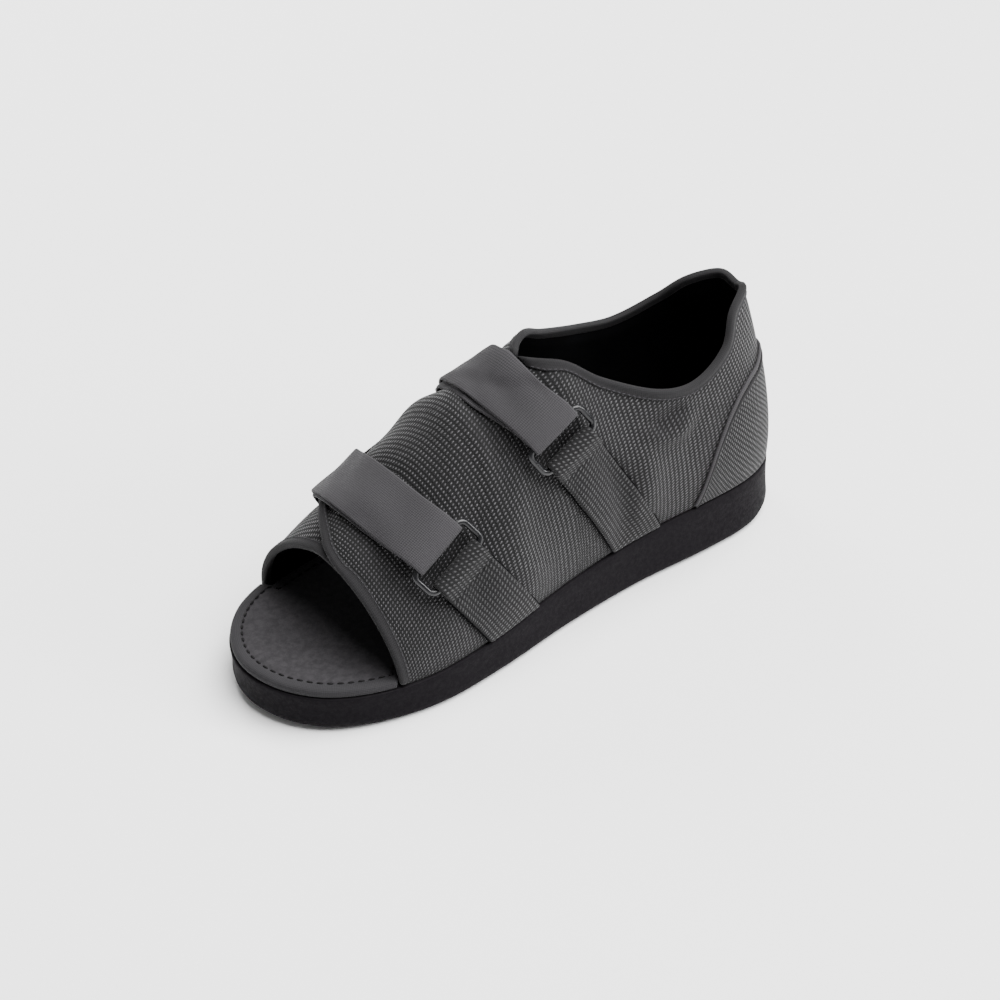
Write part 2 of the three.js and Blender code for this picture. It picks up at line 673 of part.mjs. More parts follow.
// Millimetres past a ring's bar over which a strip comes down to the shoe
const BAR_RUN = { from: 1.5, strapUnder: 16, strapOver: 24, band: 8 };
const SLACK_RUN = { from: 16, end: 8 }; // where a strap's slack starts, and ends past the crest
const CREST_PLACE = -0.1; // across where a strap's slack is greatest
const CHART = { nodes: 96, from: 0.15, to: OPENING + 0.04, halvings: 26, nearCrest: 0.05 };
const STRIP_STEPS = { wide: 5, under: 25, over: 13, bandUnder: 9, bandOver: 4, turn: 8 };

// Straps lie in slices of the upper that are square to the strap's width. A strap's chart turns a place
// on it, in millimetres from its ring's middle, into a place on the shoe: over is towards the toe, and
// up is round the shoe, towards the crest and down the far side.
function strapChart({ along, across, width, tip, turn }) {
  const pitch = THREE.MathUtils.degToRad(tip);
  const yaw = THREE.MathUtils.degToRad(turn);
  const sideways = new THREE.Vector3(
    Math.cos(pitch) * Math.cos(yaw),
    Math.cos(pitch) * Math.sin(yaw),
    -Math.sin(pitch),
  );
  const ringAt = overWall(along, across, 0);
  const upwards = sideways.clone().cross(wallFrame(1, along, across).normal).normalize();
  if (upwards.z < 0) upwards.negate();
  // What lies between the wall and the strip: the flap, its tape and the collar's tape
  const cover = (share, a) => {
    const across = Math.max(CHART.nearCrest, Math.abs(a));
    const { perShare, perAcross } = wallSlopes(a < 0 ? -1 : 1, share, across);
    const past = (flapEdgeAt(Math.max(share, THROAT)) - a) * perAcross.length();
    const { flap, flapTape, collarTape } = COME_DOWN;
    const onFlap = a < 0 ? 1 - smooth(flap.from, flap.to, past) : 1;
    const overFlapTape = 1 - smooth(flapTape.from, flapTape.to, Math.abs(past));
    const fromThroat = Math.max(0, share - THROAT) * perShare.length();
    const fromCollar = Math.hypot(fromThroat, Math.abs(a) * perAcross.length());
    const overCollarTape = 1 - smooth(collarTape.from, collarTape.to, fromCollar);
    const proud = a < 0 ? FLAP_THICKNESS : flapProud(1, share, a);
    const tape = (TOUCH_GAP + TAPE_THICKNESS) * Math.max(overFlapTape, overCollarTape);
    return proud * onFlap + tape;
  };
  const sliceAt = (over) => {
    const target = ringAt.dot(sideways) + over;
    const nodes = range(CHART.nodes).map((t) => {
      const a = mix(1, -1, t);
      let low = CHART.from;
      let high = CHART.to;
      for (let n = 0; n < CHART.halvings; n++) {
        const middle = (low + high) / 2;
        if (wallPoint(a < 0 ? -1 : 1, middle, Math.abs(a)).dot(sideways) < target) low = middle;
        else high = middle;
      }
      return { share: low, across: a, point: overWall(low, a, 0) };
    });
    let length = 0;
    nodes.forEach((node, i) => {
      if (i > 0) length += node.point.distanceTo(nodes[i - 1].point);
      node.length = length;
    });
    const height = (node) => node.point.clone().sub(ringAt).dot(upwards);
    const after = nodes.findIndex((node) => height(node) > 0);
    const [a, b] = [nodes[after - 1], nodes[after]];
    return { nodes, start: mix(a.length, b.length, height(a) / (height(a) - height(b))) };
  };
  const slices = new Map();
  const sliceFor = (over) => {
    if (!slices.has(over)) slices.set(over, sliceAt(over));
    return slices.get(over);
  };
  const upTo = (a, over = 0) => {
    const { nodes, start } = sliceFor(over);
    const i = nodes.findIndex((node) => node.across <= a);
    const [before, after] = [nodes[i - 1], nodes[i]];
    const t = (before.across - a) / (before.across - after.across);
    return mix(before.length, after.length, t) - start;
  };
  // The ends are trimmed along the upper's foot, so the strip's edges are not equally long.
  const trimmed = (over, up) => {
    const [foot, farFoot] = [upTo(STRIP_FOOT), upTo(-STRIP_FOOT)];
    const nearTrim = (upTo(STRIP_FOOT, over) - foot) * smooth(2 * RING_GAP, -foot, -up);
    const farTrim = (upTo(-STRIP_FOOT, over) - farFoot) * smooth(farFoot / 2, farFoot, up);
    return up + nearTrim + farTrim;
  };
  const onShoe = (over, up, lift) => {
    const { nodes, start } = sliceFor(over);
    const length = start + trimmed(over, up);
    let i = 1;
    while (i < nodes.length - 1 && nodes[i].length < length) i++;
    const [a, b] = [nodes[i - 1], nodes[i]];
    const t = (length - a.length) / (b.length - a.length);
    const share = mix(a.share, b.share, t);
    const here = mix(a.across, b.across, t);
    return overWall(share, here, lift + cover(share, here));
  };
  // The ring is flat, and the strips are flat where they turn round it.
  const [halfOver, halfUp] = [width / 2, RING_HALF_RISE];
  const run = onShoe(halfOver, 0, 0).sub(onShoe(-halfOver, 0, 0)).normalize();
  const rise = onShoe(0, halfUp, 0).sub(onShoe(0, -halfUp, 0));
  const outwards = run.clone().cross(rise).normalize();
  if (outwards.dot(wallFrame(1, along, across).normal) < 0) outwards.negate();
  rise.addScaledVector(run, -rise.dot(run)).normalize();
  const middle = onShoe(0, 0, 0);
  const heights = [-halfOver, 0, halfOver].flatMap((over) =>
    [-FLAT_RUN, 0, FLAT_RUN].map((up) => onShoe(over, up, 0).sub(middle).dot(outwards)),
  );
  middle.addScaledVector(outwards, Math.max(...heights));
  const at = (over, up, lift) => {
    const flatness = 1 - smooth(FLAT_RUN, CURVED_FROM, Math.abs(up));
    const flat = middle.clone().addScaledVector(run, over).addScaledVector(rise, up);
    flat.addScaledVector(outwards, lift);
    return flatness < 1 ? onShoe(over, up, lift).lerp(flat, flatness) : flat;
  };
  return { at, upTo };
}

// A strip of cloth along a path of {up, lift} points, on a strap's chart
function strip(chart, path, width, thickness) {
  const rowsOn = (sign) =>
    path.map((p, i) => {
      const before = path[Math.max(i - 1, 0)];
      const after = path[Math.min(i + 1, path.length - 1)];
      const length = Math.hypot(after.up - before.up, after.lift - before.lift);
      const up = p.up - (sign * thickness * (after.lift - before.lift)) / length / 2;
      const lift = p.lift + (sign * thickness * (after.up - before.up)) / length / 2;
      return range(STRIP_STEPS.wide).map((t) => chart.at((t - 0.5) * width, up, lift));
    });
  return plate(rowsOn(1), rowsOn(-1));
}

const RING_LIFT = STRIP_GAP + TOUCH_GAP + Math.max(STRAP_THICKNESS, BAND_THICKNESS) + RING_BAR / 2;

// The half turn round a ring's bar, from the run on the shoe to the run on top
function turnRound(bar, towards, thickness) {
  const radius = RING_BAR / 2 + TOUCH_GAP + thickness / 2;
  return range(STRIP_STEPS.turn).map((t) => ({
    up: bar + towards * radius * Math.sin(Math.PI * t),
    lift: RING_LIFT - radius * Math.cos(Math.PI * t),
  }));
}

function makeStrap(strap, chart) {
  const low = STRIP_GAP + STRAP_THICKNESS / 2;
  const foot = chart.upTo(-STRIP_FOOT);
  const end = chart.upTo(strap.end);
  const crest = chart.upTo(CREST_PLACE);
  const bar = RING_HALF_RISE;
  const turn = turnRound(bar, -1, STRAP_THICKNESS);
  const underRun = range(STRIP_STEPS.under).map((t) => {
    const up = mix(foot, bar + BAR_RUN.from, t);
    const near = 1 - smooth(BAR_RUN.from, BAR_RUN.strapUnder, up - bar);
    return { up, lift: mix(low, turn[0].lift, near) };
  });
  const topRun = range(STRIP_STEPS.over).map((t) => {
    const up = mix(bar + BAR_RUN.from, end, t);
    const near = 1 - smooth(BAR_RUN.from, BAR_RUN.strapOver, up - bar);
    const grown = smooth(SLACK_RUN.from, crest, up);
    const slack = STRAP_SLACK * grown * (1 - smooth(crest + SLACK_RUN.end, end, up));
    return { up, lift: mix(low + STRAP_THICKNESS + TOUCH_GAP, turn[STRIP_STEPS.turn].lift, near) + slack };
  });
  return strip(chart, [...underRun, ...turn, ...topRun], strap.width, STRAP_THICKNESS);
}

function makeBand(strap, chart) {
  const low = STRIP_GAP + BAND_THICKNESS / 2;
  const foot = chart.upTo(STRIP_FOOT);
  const bar = -RING_HALF_RISE;
  const turn = turnRound(bar, 1, BAND_THICKNESS);
  const underRun = range(STRIP_STEPS.bandUnder).map((t) => {
    const up = mix(foot, bar - BAR_RUN.from, t);
    const away = smooth(BAR_RUN.from, BAR_RUN.band, bar - up);
    return { up, lift: mix(turn[0].lift, low, away) };
  });
  const endRun = range(STRIP_STEPS.bandOver).map((t) => {
    const up = mix(bar - BAR_RUN.from, bar - BAND_TURN_BACK, t);
    const rest = low + BAND_THICKNESS + TOUCH_GAP;
    return { up, lift: mix(turn[STRIP_STEPS.turn].lift, rest, smooth(0, 1, t)) };
  });
  return strip(chart, [...underRun, ...turn, ...endRun], strap.width, BAND_THICKNESS);
}

const CORNER_STEPS = 4;
const BAR_SIDES = 8;

function makeRing(strap, chart) {
  const straightOver = (strap.width + RING_SPARE + RING_BAR) / 2 - RING_CORNER;
  const straightUp = RING_HALF_RISE - RING_CORNER;
  const corners = [
    { over: straightOver, up: straightUp },
    { over: -straightOver, up: straightUp },
    { over: -straightOver, up: -straightUp },
    { over: straightOver, up: -straightUp },
  ];
  const loops = corners.flatMap(({ over, up }, quarter) =>
    range(CORNER_STEPS).map((t) => {
      const turn = ((quarter + t) * Math.PI) / 2;
      return range(BAR_SIDES)
        .slice(0, -1)
        .map((s) => {
          const reach = RING_CORNER + (RING_BAR / 2) * Math.cos(2 * Math.PI * s);
          const lift = RING_LIFT + (RING_BAR / 2) * Math.sin(2 * Math.PI * s);
          return chart.at(over + reach * Math.cos(turn), up + reach * Math.sin(turn), lift);
        });
    }),
  );
  const triangles = [];
  loops.forEach((loop, i) => {
    const next = loops[(i + 1) % loops.length];
    loop.forEach((_, k) => {
      const m = (k + 1) % loop.length;
      quad(triangles, loop[k], next[k], next[m], loop[m]);
    });
  });
  return solidFrom(triangles);
}

const material = (colour, roughness) =>
  new THREE.MeshStandardMaterial({ color: colour, roughness, metalness: 0 });
const foam = material(0x1b1a1c, 0.85);
const mesh = material(0x232325, 0.8);
const felt = material(0x1d1b1c, 0.95);
const tape = material(0x38373a, 0.8);
const webbing = material(0x4a494c, 0.7);
const plastic = material(0x141416, 0.35);

const shoe = new THREE.Group();
function place(name, geometry, finish) {
  const piece = new THREE.Mesh(geometry, finish);
  piece.name = name;
  shoe.add(piece);
}

place("sole", makeSole(), foam);
place("insole", makeInsole(), felt);
place("upper", makeUpper(), mesh);
place("heel_counter", makeCounter(), mesh);
place("collar_tape", makeCollarTape(), tape);
place("toe_tape_ring_side", makeToeTape(1), tape);
place("toe_tape_far_side", makeToeTape(-1), tape);
place("flap_tape", makeFlapTape(), tape);
for (const strap of STRAPS) {
  const chart = strapChart(strap);
  place(`${strap.name}_strap`, makeStrap(strap, chart), webbing);
  place(`${strap.name}_band`, makeBand(strap, chart), mesh);
  place(`${strap.name}_ring`, makeRing(strap, chart), plastic);
}

export default shoe;
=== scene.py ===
import math

import bmesh
import bpy
import numpy as np
from mathutils import Matrix, Vector


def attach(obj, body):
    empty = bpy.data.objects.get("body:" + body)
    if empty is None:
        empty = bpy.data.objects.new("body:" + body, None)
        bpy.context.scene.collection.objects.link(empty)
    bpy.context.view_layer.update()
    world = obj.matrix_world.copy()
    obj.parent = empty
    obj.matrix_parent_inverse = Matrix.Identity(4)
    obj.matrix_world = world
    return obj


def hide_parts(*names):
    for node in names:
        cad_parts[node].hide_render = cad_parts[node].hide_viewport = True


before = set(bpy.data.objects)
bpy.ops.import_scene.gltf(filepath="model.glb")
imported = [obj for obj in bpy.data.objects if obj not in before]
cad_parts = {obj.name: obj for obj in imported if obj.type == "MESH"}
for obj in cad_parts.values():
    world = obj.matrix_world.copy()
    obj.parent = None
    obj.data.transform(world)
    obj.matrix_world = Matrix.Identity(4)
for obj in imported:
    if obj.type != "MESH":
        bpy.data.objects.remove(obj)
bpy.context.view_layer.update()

MM = 0.001

# ---- The shoe's own sizes, in millimetres, as in its CAD ----
TOUCH_GAP = 0.3  # between pieces that lie on each other
STRIP_GAP = 0.6  # between a strap or a band and what it lies on
SOLE_LENGTH = 290
BALL_WIDTH = 110.5
HEEL_THICKNESS = 30
FOREFOOT_THICKNESS = 18.5
TOE_SPRING = 2.5
EDGE_ROUND = 4.5
HEEL_ROUND = 9
INSOLE_REVEAL = 0.7
UPPER_WALL = 3
FEATHER_INSET = 1.6
COLLAR_WIDTH = 68
INSTEP_RISE = 102.6
OPENING_SKEW = 16
THROAT_SHIFT = 3
FLAP_THICKNESS = 2.4
TAPE_THICKNESS = 1
STRAP_THICKNESS = 1.5
BAND_THICKNESS = 1.8
BAND_TURN_BACK = 9
RING_BAR = 3.2
RING_GAP = 10.4
RING_SPARE = 3
RING_CORNER = 3.6

# ---- Places as in its CAD: shares of the sole's length, or of the way down from the crest ----
WEDGE_START = 0.17
WEDGE_END = 0.86
SPRING_START = 0.76
HEEL_ROUND_END = 0.09
THROAT = 0.455
OPENING = 0.84
SHIFT_START = 0.39
SHIFT_END = 0.62
POWER_START = 0.3
HEEL_POWER = 2
TOE_POWER = 1.72
SWELL_SKEW = 0.8
CREST_RUN = 0.04
NEAR_CREST = 0.06
FLAP_START = 0.32
FLAP_FADE = (0.3, 0.62)
STRIP_FOOT = 0.98
FOOT_ACROSS = 0.975  # where the bindings end, just over the sole
FAR_TUCK = 0.27  # how far past the crest the far flap runs under the other one

# ---- Sizes that the scene adds, in millimetres ----
BOUND_LEG = 3.9  # what shows of a binding on the cloth
BOUND_CLOTH = 0.6  # one layer of the binding
BOUND_GAP = 0.15  # between the binding and the cloth
CORNER_ROUND = 9.0  # how far the ring side flap's corner is rounded
CLOTH = 0.9  # the mesh itself; the rest of the wall is lining
EDGE_WALL = 1.7  # the wall where it runs under a binding

SOLE_OUTLINE = {
    "along": [0.0, 0.01, 0.04, 0.1, 0.2, 0.33, 0.48, 0.62, 0.74, 0.84, 0.92, 0.97, 0.992, 1.0],
    "half": [0.0, 0.258, 0.482, 0.625, 0.675, 0.69, 0.787, 0.93, 1.0, 0.927, 0.75, 0.487, 0.25,
             0.0],
}
RIBS = {
    "foot": [0.0, 0.012, 0.04, 0.1, 0.2, 0.28, 0.36, 0.415, 0.44, 0.455, 0.5, 0.55, 0.65, 0.75,
             0.84],
    "topX": [0.029, 0.042, 0.086, 0.126, 0.202, 0.275, 0.361, 0.414, 0.445, 0.475, 0.512, 0.555,
             0.648, 0.748, 0.84],
    "topY": [0.0, 0.28, 0.545, 0.826, 1.0, 0.99, 0.72, 0.48, 0.3, 0.0, 0.0, 0.0, 0.0, 0.0, 0.0],
    "rise": [0.861, 0.895, 0.858, 0.754, 0.684, 0.733, 0.869, 0.984, 1.007, 1.0, 0.941, 0.898,
             0.785, 0.629, 0.468],
    "turn": [30, 30, 30, 34, 45, 50, 60, 72, 82, 90, 90, 90, 90, 90, 90],
    "belly": [0.011, 0.016, 0.027, 0.032, 0.034, 0.038, 0.042, 0.042, 0.042, 0.042, 0.042, 0.038,
              0.032, 0.021, 0.013],
}
FLAP_EDGE = {
    "along": [0.455, 0.49, 0.55, 0.64, 0.72, 0.78, 0.8, 0.82, 0.84],
    "across": [0.0, -0.12, -0.4, -0.52, -0.47, -0.29, -0.2, -0.08, 0.09],
}
COUNTER_EDGE = {
    "along": [0.0, 0.04, 0.072, 0.098, 0.12, 0.14, 0.165, 0.183, 0.2, 0.21],
    "across": [0.4, 0.379, 0.346, 0.35, 0.391, 0.455, 0.588, 0.738, 0.908, 0.985],
}
# along and across place the ring, tip and turn are the strap's slope and yaw in degrees, end is
# the across of its free end, stray is how far its lower layer lies out of line, and slack is how
# far its upper layer stands off.
STRAPS = [
    {"name": "toe", "along": 0.707, "across": 0.5, "width": 28, "tip": 30, "turn": 6,
     "end": -0.6, "stray": 1.2, "slack": 0.5},
    {"name": "instep", "along": 0.458, "across": 0.46, "width": 26, "tip": 27, "turn": 7,
     "end": -0.6, "stray": 2.8, "slack": 0.6},
]

# ---- Small steps for slopes, and how finely the pieces are cut ----
OUTLINE_STEP = 5e-3
NORMAL_STEP = 2e-3
EDGE_STEP = 1e-3
OUTLINE_STEPS = 150
COLUMNS = 72


def smooth(low, high, value):
    t = np.clip((np.asarray(value, float) - low) / (high - low), 0, 1)
    return t * t * (3 - 2 * t)


def mix(a, b, t):
    return a + (b - a) * t


def steps(count):
    return np.linspace(0, 1, count + 1)


def angle_of(share):
    return np.arccos(np.clip(1 - 2 * np.asarray(share, float), -1, 1))


def share_of(angle):
    return (1 - np.cos(angle)) / 2


def table_curve(table, key, column):
    """A smooth curve through one column of a table, as the CAD draws it."""
    x = angle_of(table[key])
    y = np.array(table[column], float)
    before = np.maximum(np.arange(len(x)) - 1, 0)
    after = np.minimum(np.arange(len(x)) + 1, len(x) - 1)
    slope = (y[after] - y[before]) / (x[after] - x[before])

    def curve(share):
        angle = angle_of(share)
        i = np.clip(np.searchsorted(x, angle, side="left") - 1, 0, len(x) - 2)
        width = x[i + 1] - x[i]
        t = np.clip((angle - x[i]) / width, 0, 1)
        t2, t3 = t * t, t * t * t
        return (
            (2 * t3 - 3 * t2 + 1) * y[i]
            + (t3 - 2 * t2 + t) * width * slope[i]
            + (3 * t2 - 2 * t3) * y[i + 1]
            + (t3 - t2) * width * slope[i + 1]
        )

    return curve


outline_share = table_curve(SOLE_OUTLINE, "along", "half")
rib_column = {c: table_curve(RIBS, "foot", c) for c in ("topX", "topY", "rise", "turn", "belly")}
flap_edge = table_curve(FLAP_EDGE, "along", "across")
counter_edge = table_curve(COUNTER_EDGE, "along", "across")


def floor_height(share):
    return TOE_SPRING * np.maximum(0, (share - SPRING_START) / (1 - SPRING_START)) ** 2


def sole_top(share):
    wedge = smooth(WEDGE_START, WEDGE_END, share)
    return mix(HEEL_THICKNESS, FOREFOOT_THICKNESS, wedge) + floor_height(share)


def unit(v):
    return v / np.maximum(np.linalg.norm(v, axis=-1, keepdims=True), 1e-9)


def dot(p, q):
    return np.einsum("ij,ij->i", p, q)


def run_along(points):
    """How far along a row of points each of them lies."""
    return np.concatenate([[0], np.cumsum(np.linalg.norm(np.diff(points, axis=0), axis=-1))])


def full_turn(count):
    return np.arange(count) / count * 2 * math.pi


def outline_at(side, share):
    """Point of the sole's outline on one side, and the way out of the sole there."""
    side, share = np.broadcast_arrays(np.asarray(side, float), np.asarray(share, float))
    angle = angle_of(share)

    def at(q):
        s = share_of(np.clip(q, 0, math.pi))
        half = np.maximum(0, outline_share(s)) * BALL_WIDTH / 2
        return np.stack([(s - 0.5) * SOLE_LENGTH, side * half, np.zeros_like(s)], -1)

    run = at(angle + OUTLINE_STEP) - at(angle - OUTLINE_STEP)
    outward = np.stack([-run[..., 1], run[..., 0], np.zeros_like(share)], -1) * side[..., None]
    outward = unit(outward)
    outward = np.where((share <= 0)[..., None], [-1.0, 0, 0], outward)
    outward = np.where((share >= 1)[..., None], [1.0, 0, 0], outward)
    return at(angle), outward


def wall_point(side, share, across):
    """The upper as a single wall: across runs from 1 at the foot to 0 at the collar or crest."""
    side, share, across = np.broadcast_arrays(
        np.asarray(side, float), np.asarray(share, float), np.asarray(across, float)
    )
    skew = side * OPENING_SKEW * smooth(THROAT, OPENING, share) / 2
    foot_share = share - skew / SOLE_LENGTH
    foot, outward = outline_at(side, foot_share)
    foot = foot - outward * FEATHER_INSET
    foot[..., 2] = sole_top(foot_share) + TOUCH_GAP
    top_y = np.where(share < THROAT, np.maximum(0, rib_column["topY"](share)) * COLLAR_WIDTH / 2, 0)
    shift = smooth(SHIFT_START, THROAT, share) * (1 - smooth(THROAT, SHIFT_END, share))
    rise = rib_column["rise"](share) * INSTEP_RISE
    top_x = (rib_column["topX"](share) - 0.5) * SOLE_LENGTH
    top = np.stack([top_x, side * top_y + THROAT_SHIFT * shift, sole_top(share) + rise], -1)
    turn = np.radians(np.minimum(90, rib_column["turn"](share)))
    power = 2 / mix(HEEL_POWER, TOE_POWER, smooth(POWER_START, OPENING, share))
    up = 1 - np.clip(across, 0, 1)
    bend = lambda q: np.maximum(0, np.cos(q)) ** power
    climb = lambda q: np.maximum(0, np.sin(q)) ** power
    lean = (1 - bend(turn * up)) / (1 - bend(turn))
    lift = climb(turn * up) / climb(turn)
    span = top - foot
    swell = rib_column["belly"](share) * INSTEP_RISE * np.sin(math.pi * up ** SWELL_SKEW)
    along = np.stack([span[..., 0] * lean, span[..., 1] * lean, span[..., 2] * lift], -1)
    return foot + along + outward * swell[..., None]


def bare_normal(side, share, across):
    step = NORMAL_STEP
    angle = angle_of(share)
    fore, aft = share_of(angle + step), share_of(np.maximum(angle - step, 0))
    high, low = np.maximum(0, across - step), np.minimum(1, across + step)
    along = wall_point(side, fore, across) - wall_point(side, aft, across)
    down = wall_point(side, share, low) - wall_point(side, share, high)
    return unit(np.cross(along, down) * np.asarray(side, float)[..., None])


def wall_normal(side, share, across):
    """The way out of the wall. Over the crest it turns from one side's to the other's."""
    side, share, across = np.broadcast_arrays(
        np.asarray(side, float), np.asarray(share, float), np.asarray(across, float)
    )
    normal = bare_normal(side, share, across).copy()
    normal[..., 1] = np.where(share <= 0, 0, normal[..., 1])
    crest = smooth(THROAT - CREST_RUN, THROAT, share) * (1 - smooth(0, NEAR_CREST, across))
    return unit(normal + bare_normal(-side, share, across) * crest[..., None])


def flap_proud(a, share):
    """How far the ring side's flap stands proud of the single wall. a is signed."""
    back = smooth(FLAP_START, THROAT, share)
    near = FLAP_THICKNESS * back * (1 - smooth(*FLAP_FADE, a))
    return np.where(a < 0, np.where(share < THROAT, 0, FLAP_THICKNESS), near)


def over_wall(share, a, lift, side=None):
    """A point over the wall. a is signed, below 0 on the far side, unless a side is given."""
    share, a, lift = np.broadcast_arrays(
        np.asarray(share, float), np.asarray(a, float), np.asarray(lift, float)
    )
    if side is None:
        side = np.where(a < 0, -1.0, 1.0)
        across = np.abs(a)
    else:
        across = a
    return wall_point(side, share, across) + wall_normal(side, share, across) * lift[..., None]


# ---- Main creases of the upper ----
# from and to are (millimetres from the heel, across); width is how far the crease spreads, and
# lift is its height in millimetres, below 0 for a trough.
FOLDS = [
    # a ridge in front of the instep strap, with the dip that the strap pulls behind it
    {"from": (160, -0.2), "to": (172, 0.4), "width": 4, "lift": 1.5},
    {"from": (153, -0.1), "to": (162, 0.34), "width": 4, "lift": -0.8},
    # the trough behind the instep band, down to the sole
    {"from": (113, 0.5), "to": (101, 0.95), "width": 6.5, "lift": -2.5},
    {"from": (95, 0.42), "to": (84, 0.88), "width": 9, "lift": 3.0},
    # the soft dent under the collar
    {"from": (66, 0.16), "to": (86, 0.27), "width": 4.5, "lift": -2.0},
    {"from": (62, 0.28), "to": (90, 0.38), "width": 6, "lift": 2.6},
    # the pull between the rings
    {"from": (184, 0.36), "to": (200, 0.86), "width": 9, "lift": -2.0},
    {"from": (166, 0.5), "to": (164, 0.93), "width": 11, "lift": 3.2},
    # in front of the toe strap, down to the toe binding
    {"from": (226, 0.0), "to": (229, 0.4), "width": 5.5, "lift": -1.6},
    {"from": (234, 0.1), "to": (236, 0.6), "width": 5, "lift": 0.9},
    # the cloth that puffs up between the straps, and what each strap presses in
    {"from": (168, -0.5), "to": (176, 0.2), "width": 9.5, "lift": 3.8},
    {"from": (205, -0.5), "to": (212, 0.3), "width": 13, "lift": -2.6},
    {"from": (143, -0.4), "to": (148, 0.25), "width": 9, "lift": -0.8},
    # the far side, which the strap pulls in
    {"from": (206, -0.3), "to": (196, -0.85), "width": 8, "lift": -1.2},
    {"from": (160, -0.35), "to": (170, -0.9), "width": 9, "lift": 1.3},
    {"from": (110, -0.4), "to": (104, -0.9), "width": 8, "lift": -1.4},
    {"from": (72, -0.2), "to": (64, -0.6), "width": 8, "lift": 1.2},
    # behind the heel, where the counter ends
    {"from": (58, 0.2), "to": (66, 0.6), "width": 6, "lift": -0.8},
]
GIRTH = 96  # from the foot to the crest, for the distance between creases
WANDER = 0.32  # how far a crease sways, as a share of its width
SWAYS = 5  # radians of that sway along the crease
FADE = ((-0.25, 0.3), (0.7, 1.25))  # where along it a crease rises and dies away
PINNED = 0.07  # the across over which the sole holds the cloth down


def creases(share, a):
    """How far the creases lift the cloth at a place."""
    x, y = np.asarray(share, float) * SOLE_LENGTH, np.asarray(a, float) * GIRTH
    total = np.zeros(np.broadcast(x, y).shape)
    for fold in FOLDS:
        x0, y0 = fold["from"][0], fold["from"][1] * GIRTH
        dx, dy = fold["to"][0] - x0, fold["to"][1] * GIRTH - y0
        size = dx * dx + dy * dy
        t = ((x - x0) * dx + (y - y0) * dy) / size
        off = (x - x0 - dx * t) * dy - (y - y0 - dy * t) * dx
        off = off / math.sqrt(size) + WANDER * fold["width"] * np.sin(SWAYS * t + x0)
        ends = smooth(*FADE[0], t) * (1 - smooth(*FADE[1], t))
        total = total + fold["lift"] * ends * np.exp(-((off / fold["width"]) ** 2))
    return total * smooth(0.0, PINNED, 1 - np.abs(a))


# ---- Meshes from grids ----
def place_object(name, data):
    thing = bpy.data.objects.new(name, data)
    bpy.context.scene.collection.objects.link(thing)
    return thing


def new_piece(name, points, faces, finish, slot, nodes=(), uvs=None):
    """A piece from points in millimetres, which rides on the shoe and replaces CAD nodes."""
    mesh = bpy.data.meshes.new(name)
    mesh.from_pydata((np.asarray(points) * MM).tolist(), [], [list(f) for f in faces])
    mesh.validate()
    mesh.update()
    if uvs is not None:
        layer = mesh.uv_layers.new(name="cloth")
        loops = np.zeros(len(mesh.loops), int)
        mesh.loops.foreach_get("vertex_index", loops)
        layer.data.foreach_set("uv", np.asarray(uvs, float)[loops].ravel())
    piece = place_object(name, mesh)
    mesh.materials.append(finish)
    mesh.polygons.foreach_set("use_smooth", [True] * len(mesh.polygons))
    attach(piece, "root")
    if nodes:
        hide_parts(*nodes)
    return piece


def face_out(piece):
    """Turns the faces of a closed piece outwards."""
    work = bmesh.new()
    work.from_mesh(piece.data)
    bmesh.ops.recalc_face_normals(work, faces=work.faces)
    work.to_mesh(piece.data)
    work.free()


def plate_faces(rows, columns):
    """Faces of a closed plate whose outer grid comes first and its inner grid after it."""
    faces = []
    n = rows * columns
    at = lambda i, k, inner=0: inner * n + i * columns + k
    for i in range(rows - 1):
        for k in range(columns - 1):
            faces.append((at(i, k), at(i + 1, k), at(i + 1, k + 1), at(i, k + 1)))
            faces.append((at(i, k, 1), at(i, k + 1, 1), at(i + 1, k + 1, 1), at(i + 1, k, 1)))
    for i in range(rows - 1):
        faces.append((at(i, 0, 1), at(i + 1, 0, 1), at(i + 1, 0), at(i, 0)))
        last = columns - 1
        faces.append((at(i, last), at(i + 1, last), at(i + 1, last, 1), at(i, last, 1)))
    for k in range(columns - 1):
        last = rows - 1
        faces.append((at(0, k), at(0, k + 1), at(0, k + 1, 1), at(0, k, 1)))
        faces.append((at(last, k, 1), at(last, k + 1, 1), at(last, k + 1), at(last, k)))
    return faces


def cloth_lengths(grid):
    """Lengths along the rows and the columns of a grid of points, for the weave."""
    down = np.linalg.norm(np.diff(grid, axis=1), axis=-1)
    v = np.concatenate([np.zeros((grid.shape[0], 1)), np.cumsum(down, axis=1)], axis=1)
    u = run_along(grid[:, grid.shape[1] // 2])
    return np.stack([np.broadcast_to(u[:, None], v.shape), v], -1)


def plate_piece(name, outer, inner, finish, uv=None, **more):
    """A closed plate between two grids of points."""
    rows, columns = outer.shape[:2]
    uv = cloth_lengths(outer) if uv is None else uv
    uvs = np.concatenate([uv.reshape(-1, 2), uv.reshape(-1, 2)])
    points = np.concatenate([outer.reshape(-1, 3), inner.reshape(-1, 3)])
    face_out(new_piece(name, points, plate_faces(rows, columns), finish, uvs=uvs, **more))


